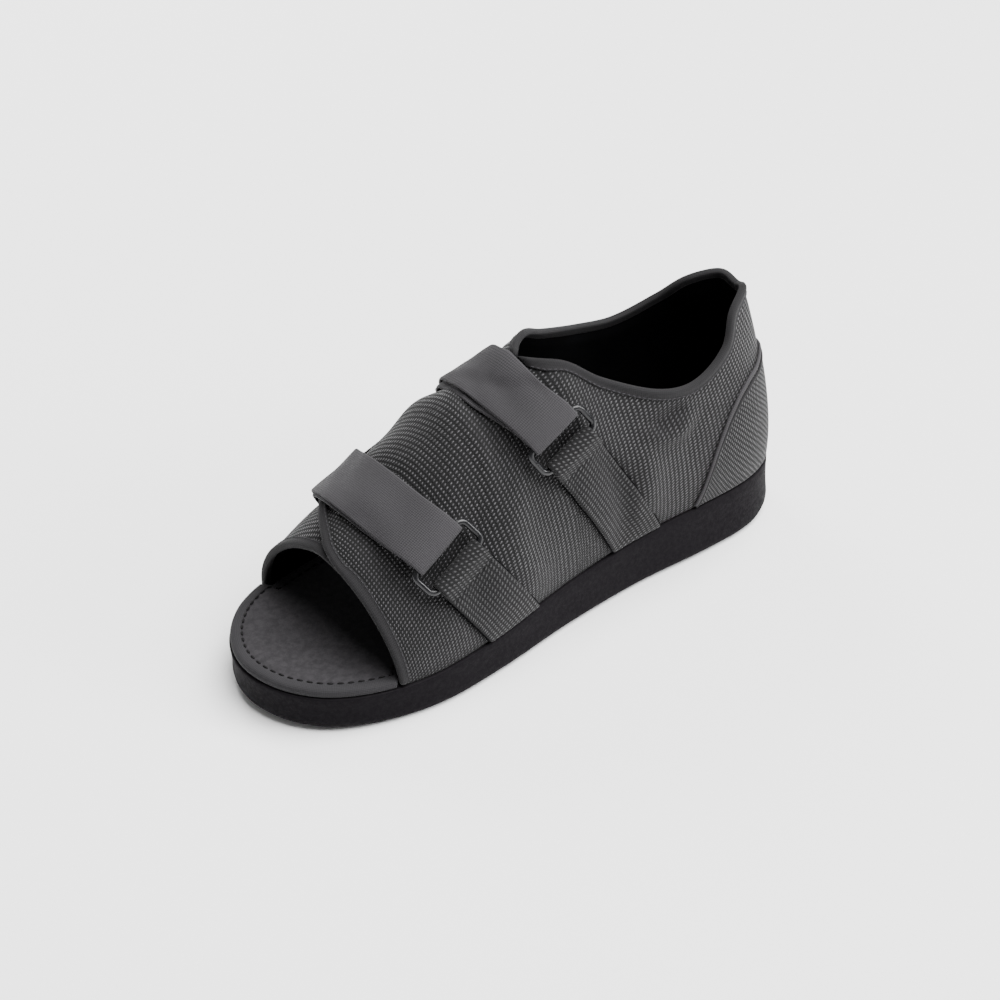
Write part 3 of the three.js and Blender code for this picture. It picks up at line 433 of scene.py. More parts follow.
def tube_piece(name, loops, finish, closed=False, **more):
    """A skin through a row of closed loops, capped at both ends or closed round."""
    loops = np.asarray(loops)
    rows, count = loops.shape[:2]
    faces = []
    for i in range(rows if closed else rows - 1):
        j = (i + 1) % rows
        for k in range(count):
            m = (k + 1) % count
            faces.append((i * count + k, j * count + k, j * count + m, i * count + m))
    if not closed:
        faces.append(tuple(range(count)))
        faces.append(tuple((rows - 1) * count + k for k in reversed(range(count))))
    around = np.linalg.norm(np.diff(loops, axis=1, append=loops[:, :1]), axis=-1)
    v = np.concatenate([np.zeros((rows, 1)), np.cumsum(around, axis=1)[:, :-1]], axis=1)
    u = run_along(loops.mean(1))
    uvs = np.stack([np.broadcast_to(u[:, None], v.shape), v], -1).reshape(-1, 2)
    face_out(new_piece(name, loops.reshape(-1, 3), faces, finish, uvs=uvs, **more))


STITCH_RINGS = np.array([0, 0.18, 0.5, 0.82, 1])  # along a stitch
STITCH_SWELL = np.array([0.25, 0.9, 1.0, 0.9, 0.25])  # its radius there
STITCH_SIDES = 6
STITCH_RISE = 0.45  # how far its middle stands up, in radii
STITCH_SINK = 0.12  # how deep its ends sink, in millimetres
STITCH_FLAT = 0.8  # its height by its breadth


def stitch_piece(name, points, normals, finish, length, gap, radius, **more):
    """A row of thread stitches along a path, each a short rounded bar."""
    points, normals = np.asarray(points), unit(np.asarray(normals))
    run = run_along(points)
    starts = np.arange(gap, run[-1] - length, length + gap)
    where = starts[:, None] + STITCH_RINGS[None, :] * length
    at = lambda values: np.stack([np.interp(where, run, values[:, i]) for i in range(3)], -1)
    centre, normal = at(points), unit(at(normals))
    along = unit(centre[:, -1:] - centre[:, :1])
    across = unit(np.cross(normal, along))
    dip = STITCH_SINK * (np.abs(STITCH_RINGS - 0.5) * 2)[None, :, None] ** 2
    centre = centre + normal * (radius * STITCH_RISE - dip)
    sides = STITCH_SIDES
    turn = full_turn(sides)
    wide = np.cos(turn)[None, None, :, None] * across[:, :, None, :]
    high = np.sin(turn)[None, None, :, None] * normal[:, :, None, :] * STITCH_FLAT
    loops = centre[:, :, None, :] + (wide + high) * (radius * STITCH_SWELL)[None, :, None, None]
    faces = []
    size = len(STITCH_RINGS) * sides
    for s in range(len(starts)):
        for i in range(len(STITCH_RINGS) - 1):
            for k in range(sides):
                m = (k + 1) % sides
                base = s * size + i * sides
                faces.append((base + k, base + m, base + sides + m, base + sides + k))
        faces.append(tuple(s * size + k for k in reversed(range(sides))))
        faces.append(tuple(s * size + size - sides + k for k in range(sides)))
    new_piece(name, loops.reshape(-1, 3), faces, finish, **more)


# ---- Shader groups ----
class Nodes:
    """Places nodes in a tree, joining each input that is given a socket."""

    def __init__(self, tree):
        self.tree = tree

    def add(self, kind, inputs=None, **settings):
        node = self.tree.nodes.new(kind)
        for key, value in settings.items():
            setattr(node, key, value)
        for key, value in (inputs or {}).items():
            if isinstance(value, bpy.types.NodeSocket):
                self.tree.links.new(value, node.inputs[key])
            else:
                node.inputs[key].default_value = value
        return node

    def math(self, operation, a, b=0.0):
        return self.add("ShaderNodeMath", {0: a, 1: b}, operation=operation).outputs[0]

    def ramp(self, value, low, high, start=0.0, end=1.0):
        """Goes softly from start to end while the value goes from low to high."""
        node = self.add(
            "ShaderNodeMapRange",
            {"Value": value, "From Min": low, "From Max": high, "To Min": start, "To Max": end},
            interpolation_type="SMOOTHSTEP",
        )
        return node.outputs["Result"]

    def blend(self, factor, a, b):
        node = self.add("ShaderNodeMix", data_type="RGBA")
        self.tree.links.new(factor, node.inputs[0])
        for key, value in ((6, a), (7, b)):
            if isinstance(value, bpy.types.NodeSocket):
                self.tree.links.new(value, node.inputs[key])
            else:
                node.inputs[key].default_value = (*value, 1)
        return node.outputs[2]

    def noise(self, vector, scale, detail=3.0, roughness=0.5):
        node = self.add(
            "ShaderNodeTexNoise",
            {"Vector": vector, "Scale": scale, "Detail": detail, "Roughness": roughness},
        )
        return node.outputs["Fac"]


def new_group(name, inputs, outputs):
    """A shader group, with what places its nodes, what it is given and where its results go."""
    group = bpy.data.node_groups.new(name, "ShaderNodeTree")
    for way, sockets in (("INPUT", inputs), ("OUTPUT", outputs)):
        for label, kind in sockets:
            group.interface.new_socket(label, in_out=way, socket_type=kind)
    nodes = Nodes(group)
    start, end = group.nodes.new("NodeGroupInput"), group.nodes.new("NodeGroupOutput")
    return group, nodes, start.outputs, end.inputs


OVAL = (0.39, 0.31)  # a float's half breadth and half length, in shares of its cell
SWAY = 1.2  # how far the rows of floats wander, in millimetres
SWAY_SCALE = 0.09
SLANT = 0.5  # how far a float rises across its cell, in cells


def make_mesh_weave():
    """Open mesh: rows of oval yarn floats with dark gaps between them, every other row shifted."""
    group, n, given, result = new_group(
        "mesh weave",
        [("Cloth", "NodeSocketVector"), ("Across mm", "NodeSocketFloat"),
         ("Along mm", "NodeSocketFloat")],
        [("Yarn", "NodeSocketFloat"), ("Height", "NodeSocketFloat"), ("Shade", "NodeSocketFloat")],
    )
    wobble = n.add("ShaderNodeTexNoise",
                   {"Vector": given["Cloth"], "Scale": SWAY_SCALE, "Detail": 2.0})
    sway = n.math("MULTIPLY", n.math("SUBTRACT", wobble.outputs["Fac"], 0.5), SWAY)
    parts = n.add("ShaderNodeSeparateXYZ", {"Vector": given["Cloth"]})
    u = n.math("DIVIDE", n.math("ADD", parts.outputs["X"], sway), given["Across mm"])
    column = n.math("FLOOR", u)
    shift = n.math("MULTIPLY", column, 0.5)
    x = n.math("SUBTRACT", n.math("FRACT", u), 0.5)
    lean = n.math("ADD", shift, n.math("MULTIPLY", x, SLANT))
    v = n.math("ADD", n.math("DIVIDE", parts.outputs["Y"], given["Along mm"]), lean)
    y = n.math("SUBTRACT", n.math("FRACT", v), 0.5)
    far = n.math(
        "SQRT",
        n.math("ADD", n.math("POWER", n.math("DIVIDE", x, OVAL[0]), 2.0),
               n.math("POWER", n.math("DIVIDE", y, OVAL[1]), 2.0)),
    )
    cell = n.add("ShaderNodeCombineXYZ", {"X": column, "Y": n.math("FLOOR", v)})
    chance = n.add("ShaderNodeTexWhiteNoise", {"Vector": cell.outputs[0]}, noise_dimensions="2D")
    n.tree.links.new(n.ramp(far, 1.12, 0.45), result["Yarn"])
    n.tree.links.new(n.ramp(far, 1.4, 0.0), result["Height"])
    n.tree.links.new(chance.outputs["Value"], result["Shade"])
    return group


def make_fine_weave():
    """Close plain weave, as in webbing and binding tape."""
    group, n, given, result = new_group(
        "fine weave",
        [("Cloth", "NodeSocketVector"), ("Across mm", "NodeSocketFloat"),
         ("Along mm", "NodeSocketFloat")],
        [("Yarn", "NodeSocketFloat")],
    )
    parts = n.add("ShaderNodeSeparateXYZ", {"Vector": given["Cloth"]})
    u = n.math("MULTIPLY", n.math("DIVIDE", parts.outputs["X"], given["Across mm"]), math.pi)
    v = n.math("MULTIPLY", n.math("DIVIDE", parts.outputs["Y"], given["Along mm"]), math.pi)
    warp = n.math("ABSOLUTE", n.math("SINE", u))
    weft = n.math("ABSOLUTE", n.math("SINE", v))
    over = n.ramp(n.math("MULTIPLY", n.math("SINE", u), n.math("SINE", v)), -0.35, 0.35)
    high = n.math("ADD", n.math("MULTIPLY", warp, over),
                  n.math("MULTIPLY", weft, n.math("SUBTRACT", 1.0, over)))
    n.tree.links.new(high, result["Yarn"])
    return group


DUST = (0.12, 0.117, 0.114)


def make_uneven_tone():
    """Broad uneven tone, and dust that lies on what faces up."""
    group, n, given, result = new_group(
        "uneven tone",
        [("Colour", "NodeSocketColor"), ("Dust", "NodeSocketFloat"), ("Spread", "NodeSocketFloat")],
        [("Colour", "NodeSocketColor")],
    )
    place = n.add("ShaderNodeTexCoord").outputs["Object"]
    cloud = n.noise(place, 22.0, 4.0, 0.6)
    level = n.math("ADD", 1.0, n.math("MULTIPLY", n.math("SUBTRACT", cloud, 0.5), given["Spread"]))
    toned = n.add("ShaderNodeVectorMath", {0: given["Colour"]}, operation="SCALE")
    n.tree.links.new(level, toned.inputs["Scale"])
    normal = n.add("ShaderNodeNewGeometry").outputs["Normal"]
    up = n.add("ShaderNodeSeparateXYZ", {"Vector": normal}).outputs["Z"]
    amount = n.math("MULTIPLY", n.ramp(up, 0.2, 1.0), n.math("MULTIPLY", given["Dust"], cloud))
    n.tree.links.new(n.blend(amount, toned.outputs[0], DUST), result["Colour"])
    return group


MESH_WEAVE = make_mesh_weave()
FINE_WEAVE = make_fine_weave()
UNEVEN_TONE = make_uneven_tone()


# ---- Materials ----
def new_material(name):
    material = bpy.data.materials.new(name)
    material.use_nodes = True
    return material, Nodes(material.node_tree), material.node_tree.nodes["Principled BSDF"]


def set_base(n, shader, colour, dust=0.1, spread=0.25):
    """The base colour, from a socket or a colour, with its uneven tone and dust."""
    given = colour if isinstance(colour, bpy.types.NodeSocket) else (*colour, 1)
    tone = n.add("ShaderNodeGroup", {"Colour": given, "Dust": dust, "Spread": spread},
                 node_tree=UNEVEN_TONE)
    n.tree.links.new(tone.outputs["Colour"], shader.inputs["Base Color"])


def set_roughness(n, shader, value):
    n.tree.links.new(value, shader.inputs["Roughness"])


def set_bump(n, shader, height, strength, distance):
    bump = n.add("ShaderNodeBump", {"Strength": strength, "Distance": distance, "Height": height})
    n.tree.links.new(bump.outputs["Normal"], shader.inputs["Normal"])


def object_place(n):
    return n.add("ShaderNodeTexCoord").outputs["Object"]


def mesh_cloth(name, yarn, across=2.6, along=1.75, angle=0.0):
    """Glossy open mesh: across and along are its cell in millimetres, angle turns its rows."""
    material, n, shader = new_material(name)
    uv = n.add("ShaderNodeUVMap", uv_map="cloth")
    turned = n.add("ShaderNodeMapping", {"Vector": uv.outputs["UV"], "Rotation": (0, 0, angle)})
    cloth = {"Cloth": turned.outputs["Vector"], "Across mm": across, "Along mm": along}
    weave = n.add("ShaderNodeGroup", cloth, node_tree=MESH_WEAVE)
    glint = n.ramp(weave.outputs["Shade"], 0, 1, 0.55, 1.0)
    colour = n.blend(n.math("MULTIPLY", weave.outputs["Yarn"], glint), YARN_GAP, yarn)
    set_base(n, shader, colour, dust=0.02, spread=0.5)
    set_roughness(n, shader, n.ramp(weave.outputs["Yarn"], 0, 1, 0.9, 0.38))
    set_bump(n, shader, weave.outputs["Height"], 0.9, 0.0007)
    shader.inputs["Sheen Weight"].default_value = 0.02
    shader.inputs["Specular IOR Level"].default_value = 0.32
    return material


def fine_cloth(name, dark, light, across=1.0, along=0.8, spread=0.25, sheen=0.03):
    """Close woven tape: across and along are the pitch of its yarns in millimetres."""
    material, n, shader = new_material(name)
    uv = n.add("ShaderNodeUVMap", uv_map="cloth")
    cloth = {"Cloth": uv.outputs["UV"], "Across mm": across, "Along mm": along}
    yarn = n.add("ShaderNodeGroup", cloth, node_tree=FINE_WEAVE).outputs["Yarn"]
    set_base(n, shader, n.blend(yarn, dark, light), dust=0.03, spread=spread)
    fuzz = n.noise(object_place(n), 2600.0, 2.0)
    set_bump(n, shader, n.math("ADD", yarn, n.math("MULTIPLY", fuzz, 0.5)), 0.8, 0.00012)
    shader.inputs["Roughness"].default_value = 0.8
    shader.inputs["Sheen Weight"].default_value = sheen
    shader.inputs["Specular IOR Level"].default_value = 0.2
    return material


def foam_material():
    """Closed cell foam: matte charcoal, finely pitted, a little shinier where it was pressed."""
    material, n, shader = new_material("sole foam")
    set_base(n, shader, (0.0038, 0.003, 0.0041), dust=0.03, spread=0.35)
    place = object_place(n)
    cells = n.add("ShaderNodeTexVoronoi", {"Vector": place, "Scale": 1500.0})
    pits = n.ramp(cells.outputs["Distance"], 0.15, 0.6)
    grain = n.noise(place, 480.0, 4.0, 0.65)
    set_bump(n, shader, n.math("ADD", n.math("MULTIPLY", pits, 0.4), grain), 0.55, 0.0002)
    set_roughness(n, shader, n.ramp(grain, 0.3, 0.7, 0.62, 0.8))
    shader.inputs["Specular IOR Level"].default_value = 0.06
    return material


def nap_material(name, dark, light, scale, sheen, shine):
    """Brushed cloth or nubuck: the nap lies in clouds that catch the light differently."""
    material, n, shader = new_material(name)
    place = object_place(n)
    clouds = n.noise(place, scale, 5.0, 0.65)
    fibres = n.noise(place, 1900.0, 3.0, 0.7)
    set_base(n, shader, n.blend(n.ramp(clouds, 0.32, 0.68), dark, light), dust=0.05, spread=0.3)
    set_bump(n, shader, n.math("ADD", fibres, n.math("MULTIPLY", clouds, 0.8)), 0.5, 0.00022)
    shader.inputs["Roughness"].default_value = 0.95
    shader.inputs["Sheen Weight"].default_value = sheen
    shader.inputs["Specular IOR Level"].default_value = shine
    return material


def plastic_material():
    """Moulded gloss plastic with faint flow marks and rubbed edges."""
    material, n, shader = new_material("ring plastic")
    set_base(n, shader, (0.004, 0.004, 0.005), dust=0.05)
    rub = n.noise(object_place(n), 260.0, 5.0, 0.6)
    set_roughness(n, shader, n.ramp(rub, 0.35, 0.7, 0.2, 0.42))
    set_bump(n, shader, rub, 0.25, 0.0002)
    shader.inputs["Coat Weight"].default_value = 0.15
    shader.inputs["Specular IOR Level"].default_value = 0.3
    shader.inputs["Coat Roughness"].default_value = 0.12
    return material


def thread_material(name, colour):
    """Sewing thread, matte and finely twisted."""
    material, n, shader = new_material(name)
    set_base(n, shader, colour)
    set_bump(n, shader, n.noise(object_place(n), 1500.0, 2.0), 0.6, 0.0001)
    shader.inputs["Roughness"].default_value = 0.7
    shader.inputs["Specular IOR Level"].default_value = 0.1
    return material


YARN_GAP = (0.0006, 0.0005, 0.0008)
YARN = (0.05, 0.048, 0.0517)
UPPER_MESH = mesh_cloth("upper mesh", YARN, angle=0.1)
FAR_MESH = mesh_cloth("far flap mesh", YARN, angle=-0.15)
COUNTER_MESH = mesh_cloth("counter mesh", (0.049, 0.047, 0.0507), 2.2, 1.7, angle=0.7)
BAND_MESH = mesh_cloth("band mesh", (0.024, 0.023, 0.025), 2.3, 1.8)
BINDING = fine_cloth("binding tape", (0.0012, 0.001, 0.0014), (0.0112, 0.0106, 0.0117))
WEBBING = fine_cloth("strap webbing", (0.009, 0.0085, 0.0094), (0.039, 0.037, 0.0402), 0.95, 0.75,
                     spread=0.2)
LINING = nap_material("lining", (0.0004, 0.0004, 0.0006), (0.001, 0.001, 0.0014), scale=90.0,
                      sheen=0.0, shine=0.06)
NUBUCK = nap_material("insole nubuck", (0.012, 0.011, 0.0127), (0.022, 0.0203, 0.0226),
                      scale=320.0, sheen=0.03, shine=0.25)
INSOLE_BAND = fine_cloth("insole edge tape", (0.005, 0.0046, 0.0054), (0.02, 0.019, 0.021),
                         0.8, 0.8, spread=0.6, sheen=0.02)
FOAM = foam_material()
PLASTIC = plastic_material()
THREAD = thread_material("grey thread", (0.035, 0.034, 0.037))
DARK_THREAD = thread_material("black thread", (0.0015, 0.0014, 0.0018))


# ---- Sole and insole ----
SOLE_WAIST = 0.35  # how far the sole's wall draws in half way up
TOP_ROUND = 0.9  # of the sole's upper edge
TOP_TURN = ((0, TOP_ROUND), (0.12, 0.45), (0.4, 0.13), (TOP_ROUND, 0))  # inset and drop
INSOLE_CLEAR = 0.002  # share of the length from the opening to where the insole widens
INSOLE_WIDENS = 0.007  # share of the length over which it does
BAND_REACH = 5.6  # of the insole's edge tape over its top
BAND_START = 0.7  # share of the length where the edge tape comes out of the upper
SHEET_PROFILE = (  # inset and height of the insole's face, from below its edge to its middle
    (0.9, 0.35), (0.75, 1.2), (0.75, 2.6), (1.0, 3.3), (1.7, 3.85), (2.8, 4.05),
    (BAND_REACH, 4.0), (BAND_REACH + 0.5, 3.85), (BAND_REACH + 1.2, 4.1), (BAND_REACH + 4, 4.25),
)
BAND_PROFILE = (  # the edge tape: over the edge and back underneath
    (0.6, 0.35), (0.1, 1.1), (0.0, 2.0), (0.15, 3.0), (0.8, 3.9), (2.0, 4.35), (3.6, 4.45),
    (BAND_REACH - 0.3, 4.3), (BAND_REACH, 4.02), (3.0, 3.9), (1.6, 3.6), (1.0, 3.0), (0.9, 2.0),
    (0.9, 0.8),
)
SEAM_PLACE = (BAND_REACH + 0.1, 4.12)


def outline_loop(inset, height):
    """A closed loop round the sole: inset and height are functions of side and share."""
    shares = share_of(steps(OUTLINE_STEPS) * math.pi)
    halves = []
    for side, part in ((1, shares), (-1, shares[1:-1][::-1])):
        point, outward = outline_at(side, part)
        point = point - outward * np.broadcast_to(inset(side, part), part.shape)[:, None]
        point[:, 2] = height(side, part)
        halves.append(point)
    return np.concatenate(halves)


def capped_stack(name, loops, finish, **more):
    """Loops on top of each other, closed below and above by rungs from side to side."""
    loops = np.asarray(loops)
    levels, count = loops.shape[:2]
    faces = []
    for k in range(levels - 1):
        for i in range(count):
            j = (i + 1) % count
            faces.append((k * count + j, k * count + i, (k + 1) * count + i, (k + 1) * count + j))
    for k, flip in ((0, False), (levels - 1, True)):
        for i in range(count // 2):
            rung = [i, i + 1, count - i - 1, (count - i) % count]
            rung = [k * count + q for q in dict.fromkeys(rung)]
            faces.append(tuple(rung[::-1] if flip else rung))
    u = np.broadcast_to(run_along(loops[levels // 2]), (levels, count))
    uvs = np.stack([u, loops[..., 2]], -1).reshape(-1, 2)
    face_out(new_piece(name, loops.reshape(-1, 3), faces, finish, uvs=uvs, **more))


def make_sole():
    """The foam wedge: a round lower edge, a slightly waisted wall and a small upper round."""
    round_at = lambda share: mix(HEEL_ROUND, EDGE_ROUND, smooth(0, HEEL_ROUND_END, share))
    loops = []
    for degrees in (90, 75, 60, 45, 30, 15, 0):
        turn = math.radians(degrees)
        loops.append(outline_loop(
            lambda side, share: round_at(share) * (1 - math.cos(turn)),
            lambda side, share: floor_height(share) + round_at(share) * (1 - math.sin(turn)),
        ))
    low = lambda share: floor_height(share) + round_at(share)
    for t in (0.25, 0.5, 0.75):
        loops.append(outline_loop(
            lambda side, share: SOLE_WAIST * math.sin(math.pi * t),
            lambda side, share: mix(low(share), sole_top(share) - TOP_ROUND, t),
        ))
    for inset, drop in TOP_TURN:
        loops.append(outline_loop(
            lambda side, share: inset,
            lambda side, share: sole_top(share) - drop,
        ))
    capped_stack("sole_foam_wedge", loops, FOAM, nodes=["sole"], slot="sole_foam")


def insole_inset(side, share):
    """From the sole's edge to the insole's: inside the upper, and in front of it near the edge."""
    covered = FEATHER_INSET + UPPER_WALL + TAPE_THICKNESS + 2 * TOUCH_GAP
    clear = OPENING - side * OPENING_SKEW / 2 / SOLE_LENGTH + INSOLE_CLEAR
    return mix(covered, INSOLE_REVEAL, smooth(clear, clear + INSOLE_WIDENS, share))


def insole_edge(reach, height):
    """A path along the insole's open edge, round the toe: reach is how far it lies in from it."""
    shares = share_of(mix(angle_of(BAND_START), math.pi, steps(120)))
    halves = []
    for side, part in ((1, shares), (-1, shares[:-1][::-1])):
        point, outward = outline_at(side, part)
        point = point - outward * (insole_inset(side, part) + reach)[:, None]
        point[:, 2] = sole_top(part) + height
        halves.append(point)
    return np.concatenate(halves)


def make_insole():
    """The nubuck sheet, the tape round its open edge, and the tape's stitches."""
    loops = [
        outline_loop(
            lambda side, share: insole_inset(side, share) + inset,
            lambda side, share: sole_top(share) + height,
        )
        for inset, height in SHEET_PROFILE
    ]
    capped_stack("insole_nubuck_sheet", loops, NUBUCK, nodes=["insole"], slot="insole_nubuck")
    tape = np.stack([insole_edge(*place) for place in BAND_PROFILE], 1)
    tube_piece("insole_edge_tape", tape, INSOLE_BAND, slot="insole_nubuck")
    painted_shade_cord = insole_edge(*SEAM_PLACE)
    up = np.tile([0.0, 0, 1], (len(painted_shade_cord), 1))
    stitch_piece("insole_edge_stitches", painted_shade_cord, up, DARK_THREAD, length=3.0, gap=1.7, radius=0.62,
                 slot="insole_nubuck")


# ---- Upper: two flaps of mesh over a black lining ----
LAP_CLEAR = 0.25  # between the ring side flap and the far one under it
LAP_SOFT = 0.3  # how much of the creases the flap's under side follows where it laps
TUCKED = 0.02  # how far inside the ring side flap's edge the far one lies flat
TUCK_FADE = 0.12  # the across over which its creases come back
LINING_SOFT = 0.6  # how much of the creases the lining follows
LINING_GAP = 0.03
QUARTER_HEIGHT = 90  # from the foot to the collar, for the lining's thin rim
RIM_WIDTH = 14


def near_top(share):
    """The ring side flap's edge as an across, with its rounded corner."""
    edge_share, edge_a = NEAR_EDGE
    edge = np.interp(share, np.maximum.accumulate(edge_share), edge_a)
    return np.where(share < THROAT, 0.0, edge)


def upper_shares():
    collar = share_of(steps(90) * angle_of(THROAT))
    return np.concatenate([collar, mix(THROAT, OPENING, steps(96))[1:]])


def make_ring_flap():
    """The ring side's quarter and its flap, which laps over the far one."""
    shares = upper_shares()
    a = mix(1.0, near_top(shares)[:, None], steps(COLUMNS)[None, :])
    share = np.broadcast_to(shares[:, None], a.shape)
    proud, wave = flap_proud(a, share), creases(share, a)
    lap = proud / FLAP_THICKNESS
    under = mix(-CLOTH, LAP_CLEAR, lap) + wave * mix(1.0, LAP_SOFT, lap)
    outer = over_wall(share, a, proud + wave)
    inner = over_wall(share, a, np.minimum(under, proud + wave - CLOTH))
    plate_piece("ring_side_flap_mesh", outer, inner, UPPER_MESH, nodes=["upper"],
                slot="upper_mesh")


def make_far_flap():
    """The far side's quarter, and its flap, which runs on past the crest under the other one."""
    shares = upper_shares()
    for name, part, top, side in (
        ("far_quarter_mesh", shares[shares <= THROAT], 0.0, -1.0),
        ("far_flap_mesh", shares[shares >= THROAT], FAR_TUCK, None),
    ):
        signed = np.tile(mix(-1.0, top, steps(COLUMNS)), (len(part), 1))
        share = np.broadcast_to(part[:, None], signed.shape)
        inside = signed - near_top(share)
        wave = creases(share, signed) * smooth(0, TUCK_FADE, np.abs(inside))
        if side is None:
            wave = np.where(inside > -TUCKED, 0.0, wave)
        a = signed if side is None else -signed
        outer = over_wall(share, a, wave, side=side)
        inner = over_wall(share, a, wave - CLOTH, side=side)
        plate_piece(name, outer, inner, FAR_MESH, slot="upper_mesh")


def make_lining():
    """The black lining of both sides, from the foot up, thin where a binding holds its rim."""
    shares = upper_shares()
    for name, side in (("lining_ring_side", 1.0), ("lining_far_side", -1.0)):
        a = np.tile(mix(1.0, 0.0, steps(COLUMNS)), (len(shares), 1))
        share = np.broadcast_to(shares[:, None], a.shape)
        wave = creases(share, side * a) * LINING_SOFT
        outer = over_wall(share, a, wave - CLOTH - LINING_GAP, side=side)
        from_toe = (OPENING - share) * SOLE_LENGTH
        rim = np.where(share < THROAT, np.minimum(a * QUARTER_HEIGHT, from_toe), from_toe)
        depth = mix(EDGE_WALL, UPPER_WALL, smooth(0, RIM_WIDTH, rim))
        inner = over_wall(share, a, wave - depth, side=side)
        plate_piece(name, outer, inner, LINING, slot="upper_mesh")


# ---- Binding tape, folded over the edges ----
BOUND_OUT = BOUND_CLOTH + TOUCH_GAP + 0.3  # how far the fold stands out of the edge
BOUND_SQUARE = 0.7  # below 1 the fold is fuller than a half circle
BOUND_ROLL = (1.9, 1.1)  # how far it rolls over and under the cloth, in layers
LEG_TOP = (  # depth as a share of the leg, and height in layers, from the hem to the fold
    (0.88, 1.0), (0.74, 0.85), (0.5, 1.3), (0.3, 1.9), (0.1, 2.1),
)
SEAM_DEPTH = 0.84  # where the stitches run, as a share of the leg
SEAM_HEIGHT = 0.85
SQUARE_HEM = 0.75  # how slanted an across may run before the hem stops following it
INNER_LEG = 0.8
THROAT_CLEAR = 0.002
EDGE_SAMPLES = 400
EDGE_POINTS = 900
BELL_REACH = 120
EDGE_STRIDE = 4
FAR_END = 0.2  # where the far flap's binding ends, under the other flap
FAR_SINK = ((0.04, 0.1), -0.6)  # where it sinks under that flap, and how far
FAR_STITCHED = 78


def fold_section(over, under, outer_leg, inner_leg):
    """Points of the folded tape's section as (depth, lift): depth is a share of the tape's width
    into the cloth where it is above 0, and millimetres out of it where it is below."""
    half, tall = (over + under) / 2, (over - under) / 2
    outer = [(outer_leg, over - 0.1), (outer_leg - 0.05, over + BOUND_CLOTH * 0.75)]
    outer += [(d * outer_leg, over + BOUND_CLOTH * h) for d, h in LEG_TOP]
    for degrees in (70, 45, 20, 0, -20, -45, -70):
        q = math.radians(degrees)
        reach = tall + BOUND_CLOTH * BOUND_ROLL[0 if q > 0 else 1]
        outer.append((-BOUND_OUT * math.cos(q) ** BOUND_SQUARE, half + reach * math.sin(q)))
    outer += [(d * inner_leg, under - BOUND_CLOTH) for d in (0.0, 0.3, 0.6, 0.9)]
    outer += [(inner_leg, under - BOUND_CLOTH * 0.6), (inner_leg, under + 0.1)]
    inner = [(d * inner_leg, under) for d in (0.6, 0.0)] + [(-0.2, half)]
    return outer + inner + [(d * outer_leg, over) for d in (0.0, 0.6)]


def over_signed(side, share, across, lift):
    """Over the wall, where an across below 0 has crossed the crest to the other side."""
    crossed = np.asarray(across, float) < 0
    return over_wall(share, np.abs(across), lift, side=np.where(crossed, -1.0, 1.0) * side)


def make_binding(name, stations, folds, nodes, stitched=None):
    """Folds a tape over an edge and stitches it down. Each station is (side, share, across, share
    step, across step), whose steps take the tape's width into the cloth, and each fold is what
    fold_section is given there. The stitches run over the first stations, or over all."""
    side, share, across, d_share, d_across = (np.asarray(q, float) for q in zip(*stations))
    point = wall_point(side, share, across)
    normal = wall_normal(side, share, across)
    tangent = unit(np.gradient(point, axis=0))
    inward = unit(np.cross(normal, tangent))
    hem = over_signed(side, share + d_share, across + d_across, 0)
    inward = inward * np.sign(dot(inward, hem - point))[:, None]
    loops = []
    for i, fold in enumerate(folds):
        loops.append([
            over_signed(side[i], share[i] + d_share[i] * depth, across[i] + d_across[i] * depth,
                        lift)
            if depth > 0 else point[i] + normal[i] * lift + inward[i] * depth
            for depth, lift in fold_section(*fold)
        ])
    tube_piece(f"{name}_binding", loops, BINDING, nodes=nodes, slot="edge_tape")

    share = (share + d_share * SEAM_DEPTH)[:stitched]
    across = (across + d_across * SEAM_DEPTH)[:stitched]
    side = np.where(across < 0, -side[:stitched], side[:stitched])
    lifts = np.array([fold[0] for fold in folds])[:stitched] + BOUND_CLOTH * SEAM_HEIGHT
    points = over_wall(share, np.abs(across), lifts, side=side)
    normals = wall_normal(side, share, np.abs(across))
    stitch_piece(f"{name}_stitches", points, normals, THREAD, length=1.9, gap=0.8, radius=0.24,
                 slot="edge_tape")


def hem_across(side, share):
    """How much across the tape's leg takes below the collar."""
    step = EDGE_STEP
    per_across = (wall_point(side, share, step) - wall_point(side, share, 0)) / step
    per_share = (wall_point(side, share + step, 0) - wall_point(side, share - step, 0)) / step
    square = np.linalg.norm(np.cross(per_share, per_across)) / np.linalg.norm(per_share)
    return BOUND_LEG / max(square, SQUARE_HEM * np.linalg.norm(per_across))


def proud_at(a, share):
    return float(flap_proud(np.float64(a), share))


def make_collar_binding():
    shares = share_of(steps(150) * angle_of(THROAT))[1:]
    shares = shares[shares < THROAT - THROAT_CLEAR]
    stations, folds = [], []
    for side, part in ((-1.0, shares[::-1]), (1.0, np.concatenate([[1e-4], shares]))):
        for share in part:
            stations.append((side, share, 0.0, 0.0, hem_across(side, share)))
            proud = proud_at(0.0, share) if side > 0 else 0.0
            folds.append((proud + BOUND_GAP, proud * 0.8 - EDGE_WALL, 1.0, INNER_LEG))
    make_binding("collar", stations, folds, ["collar_tape"])


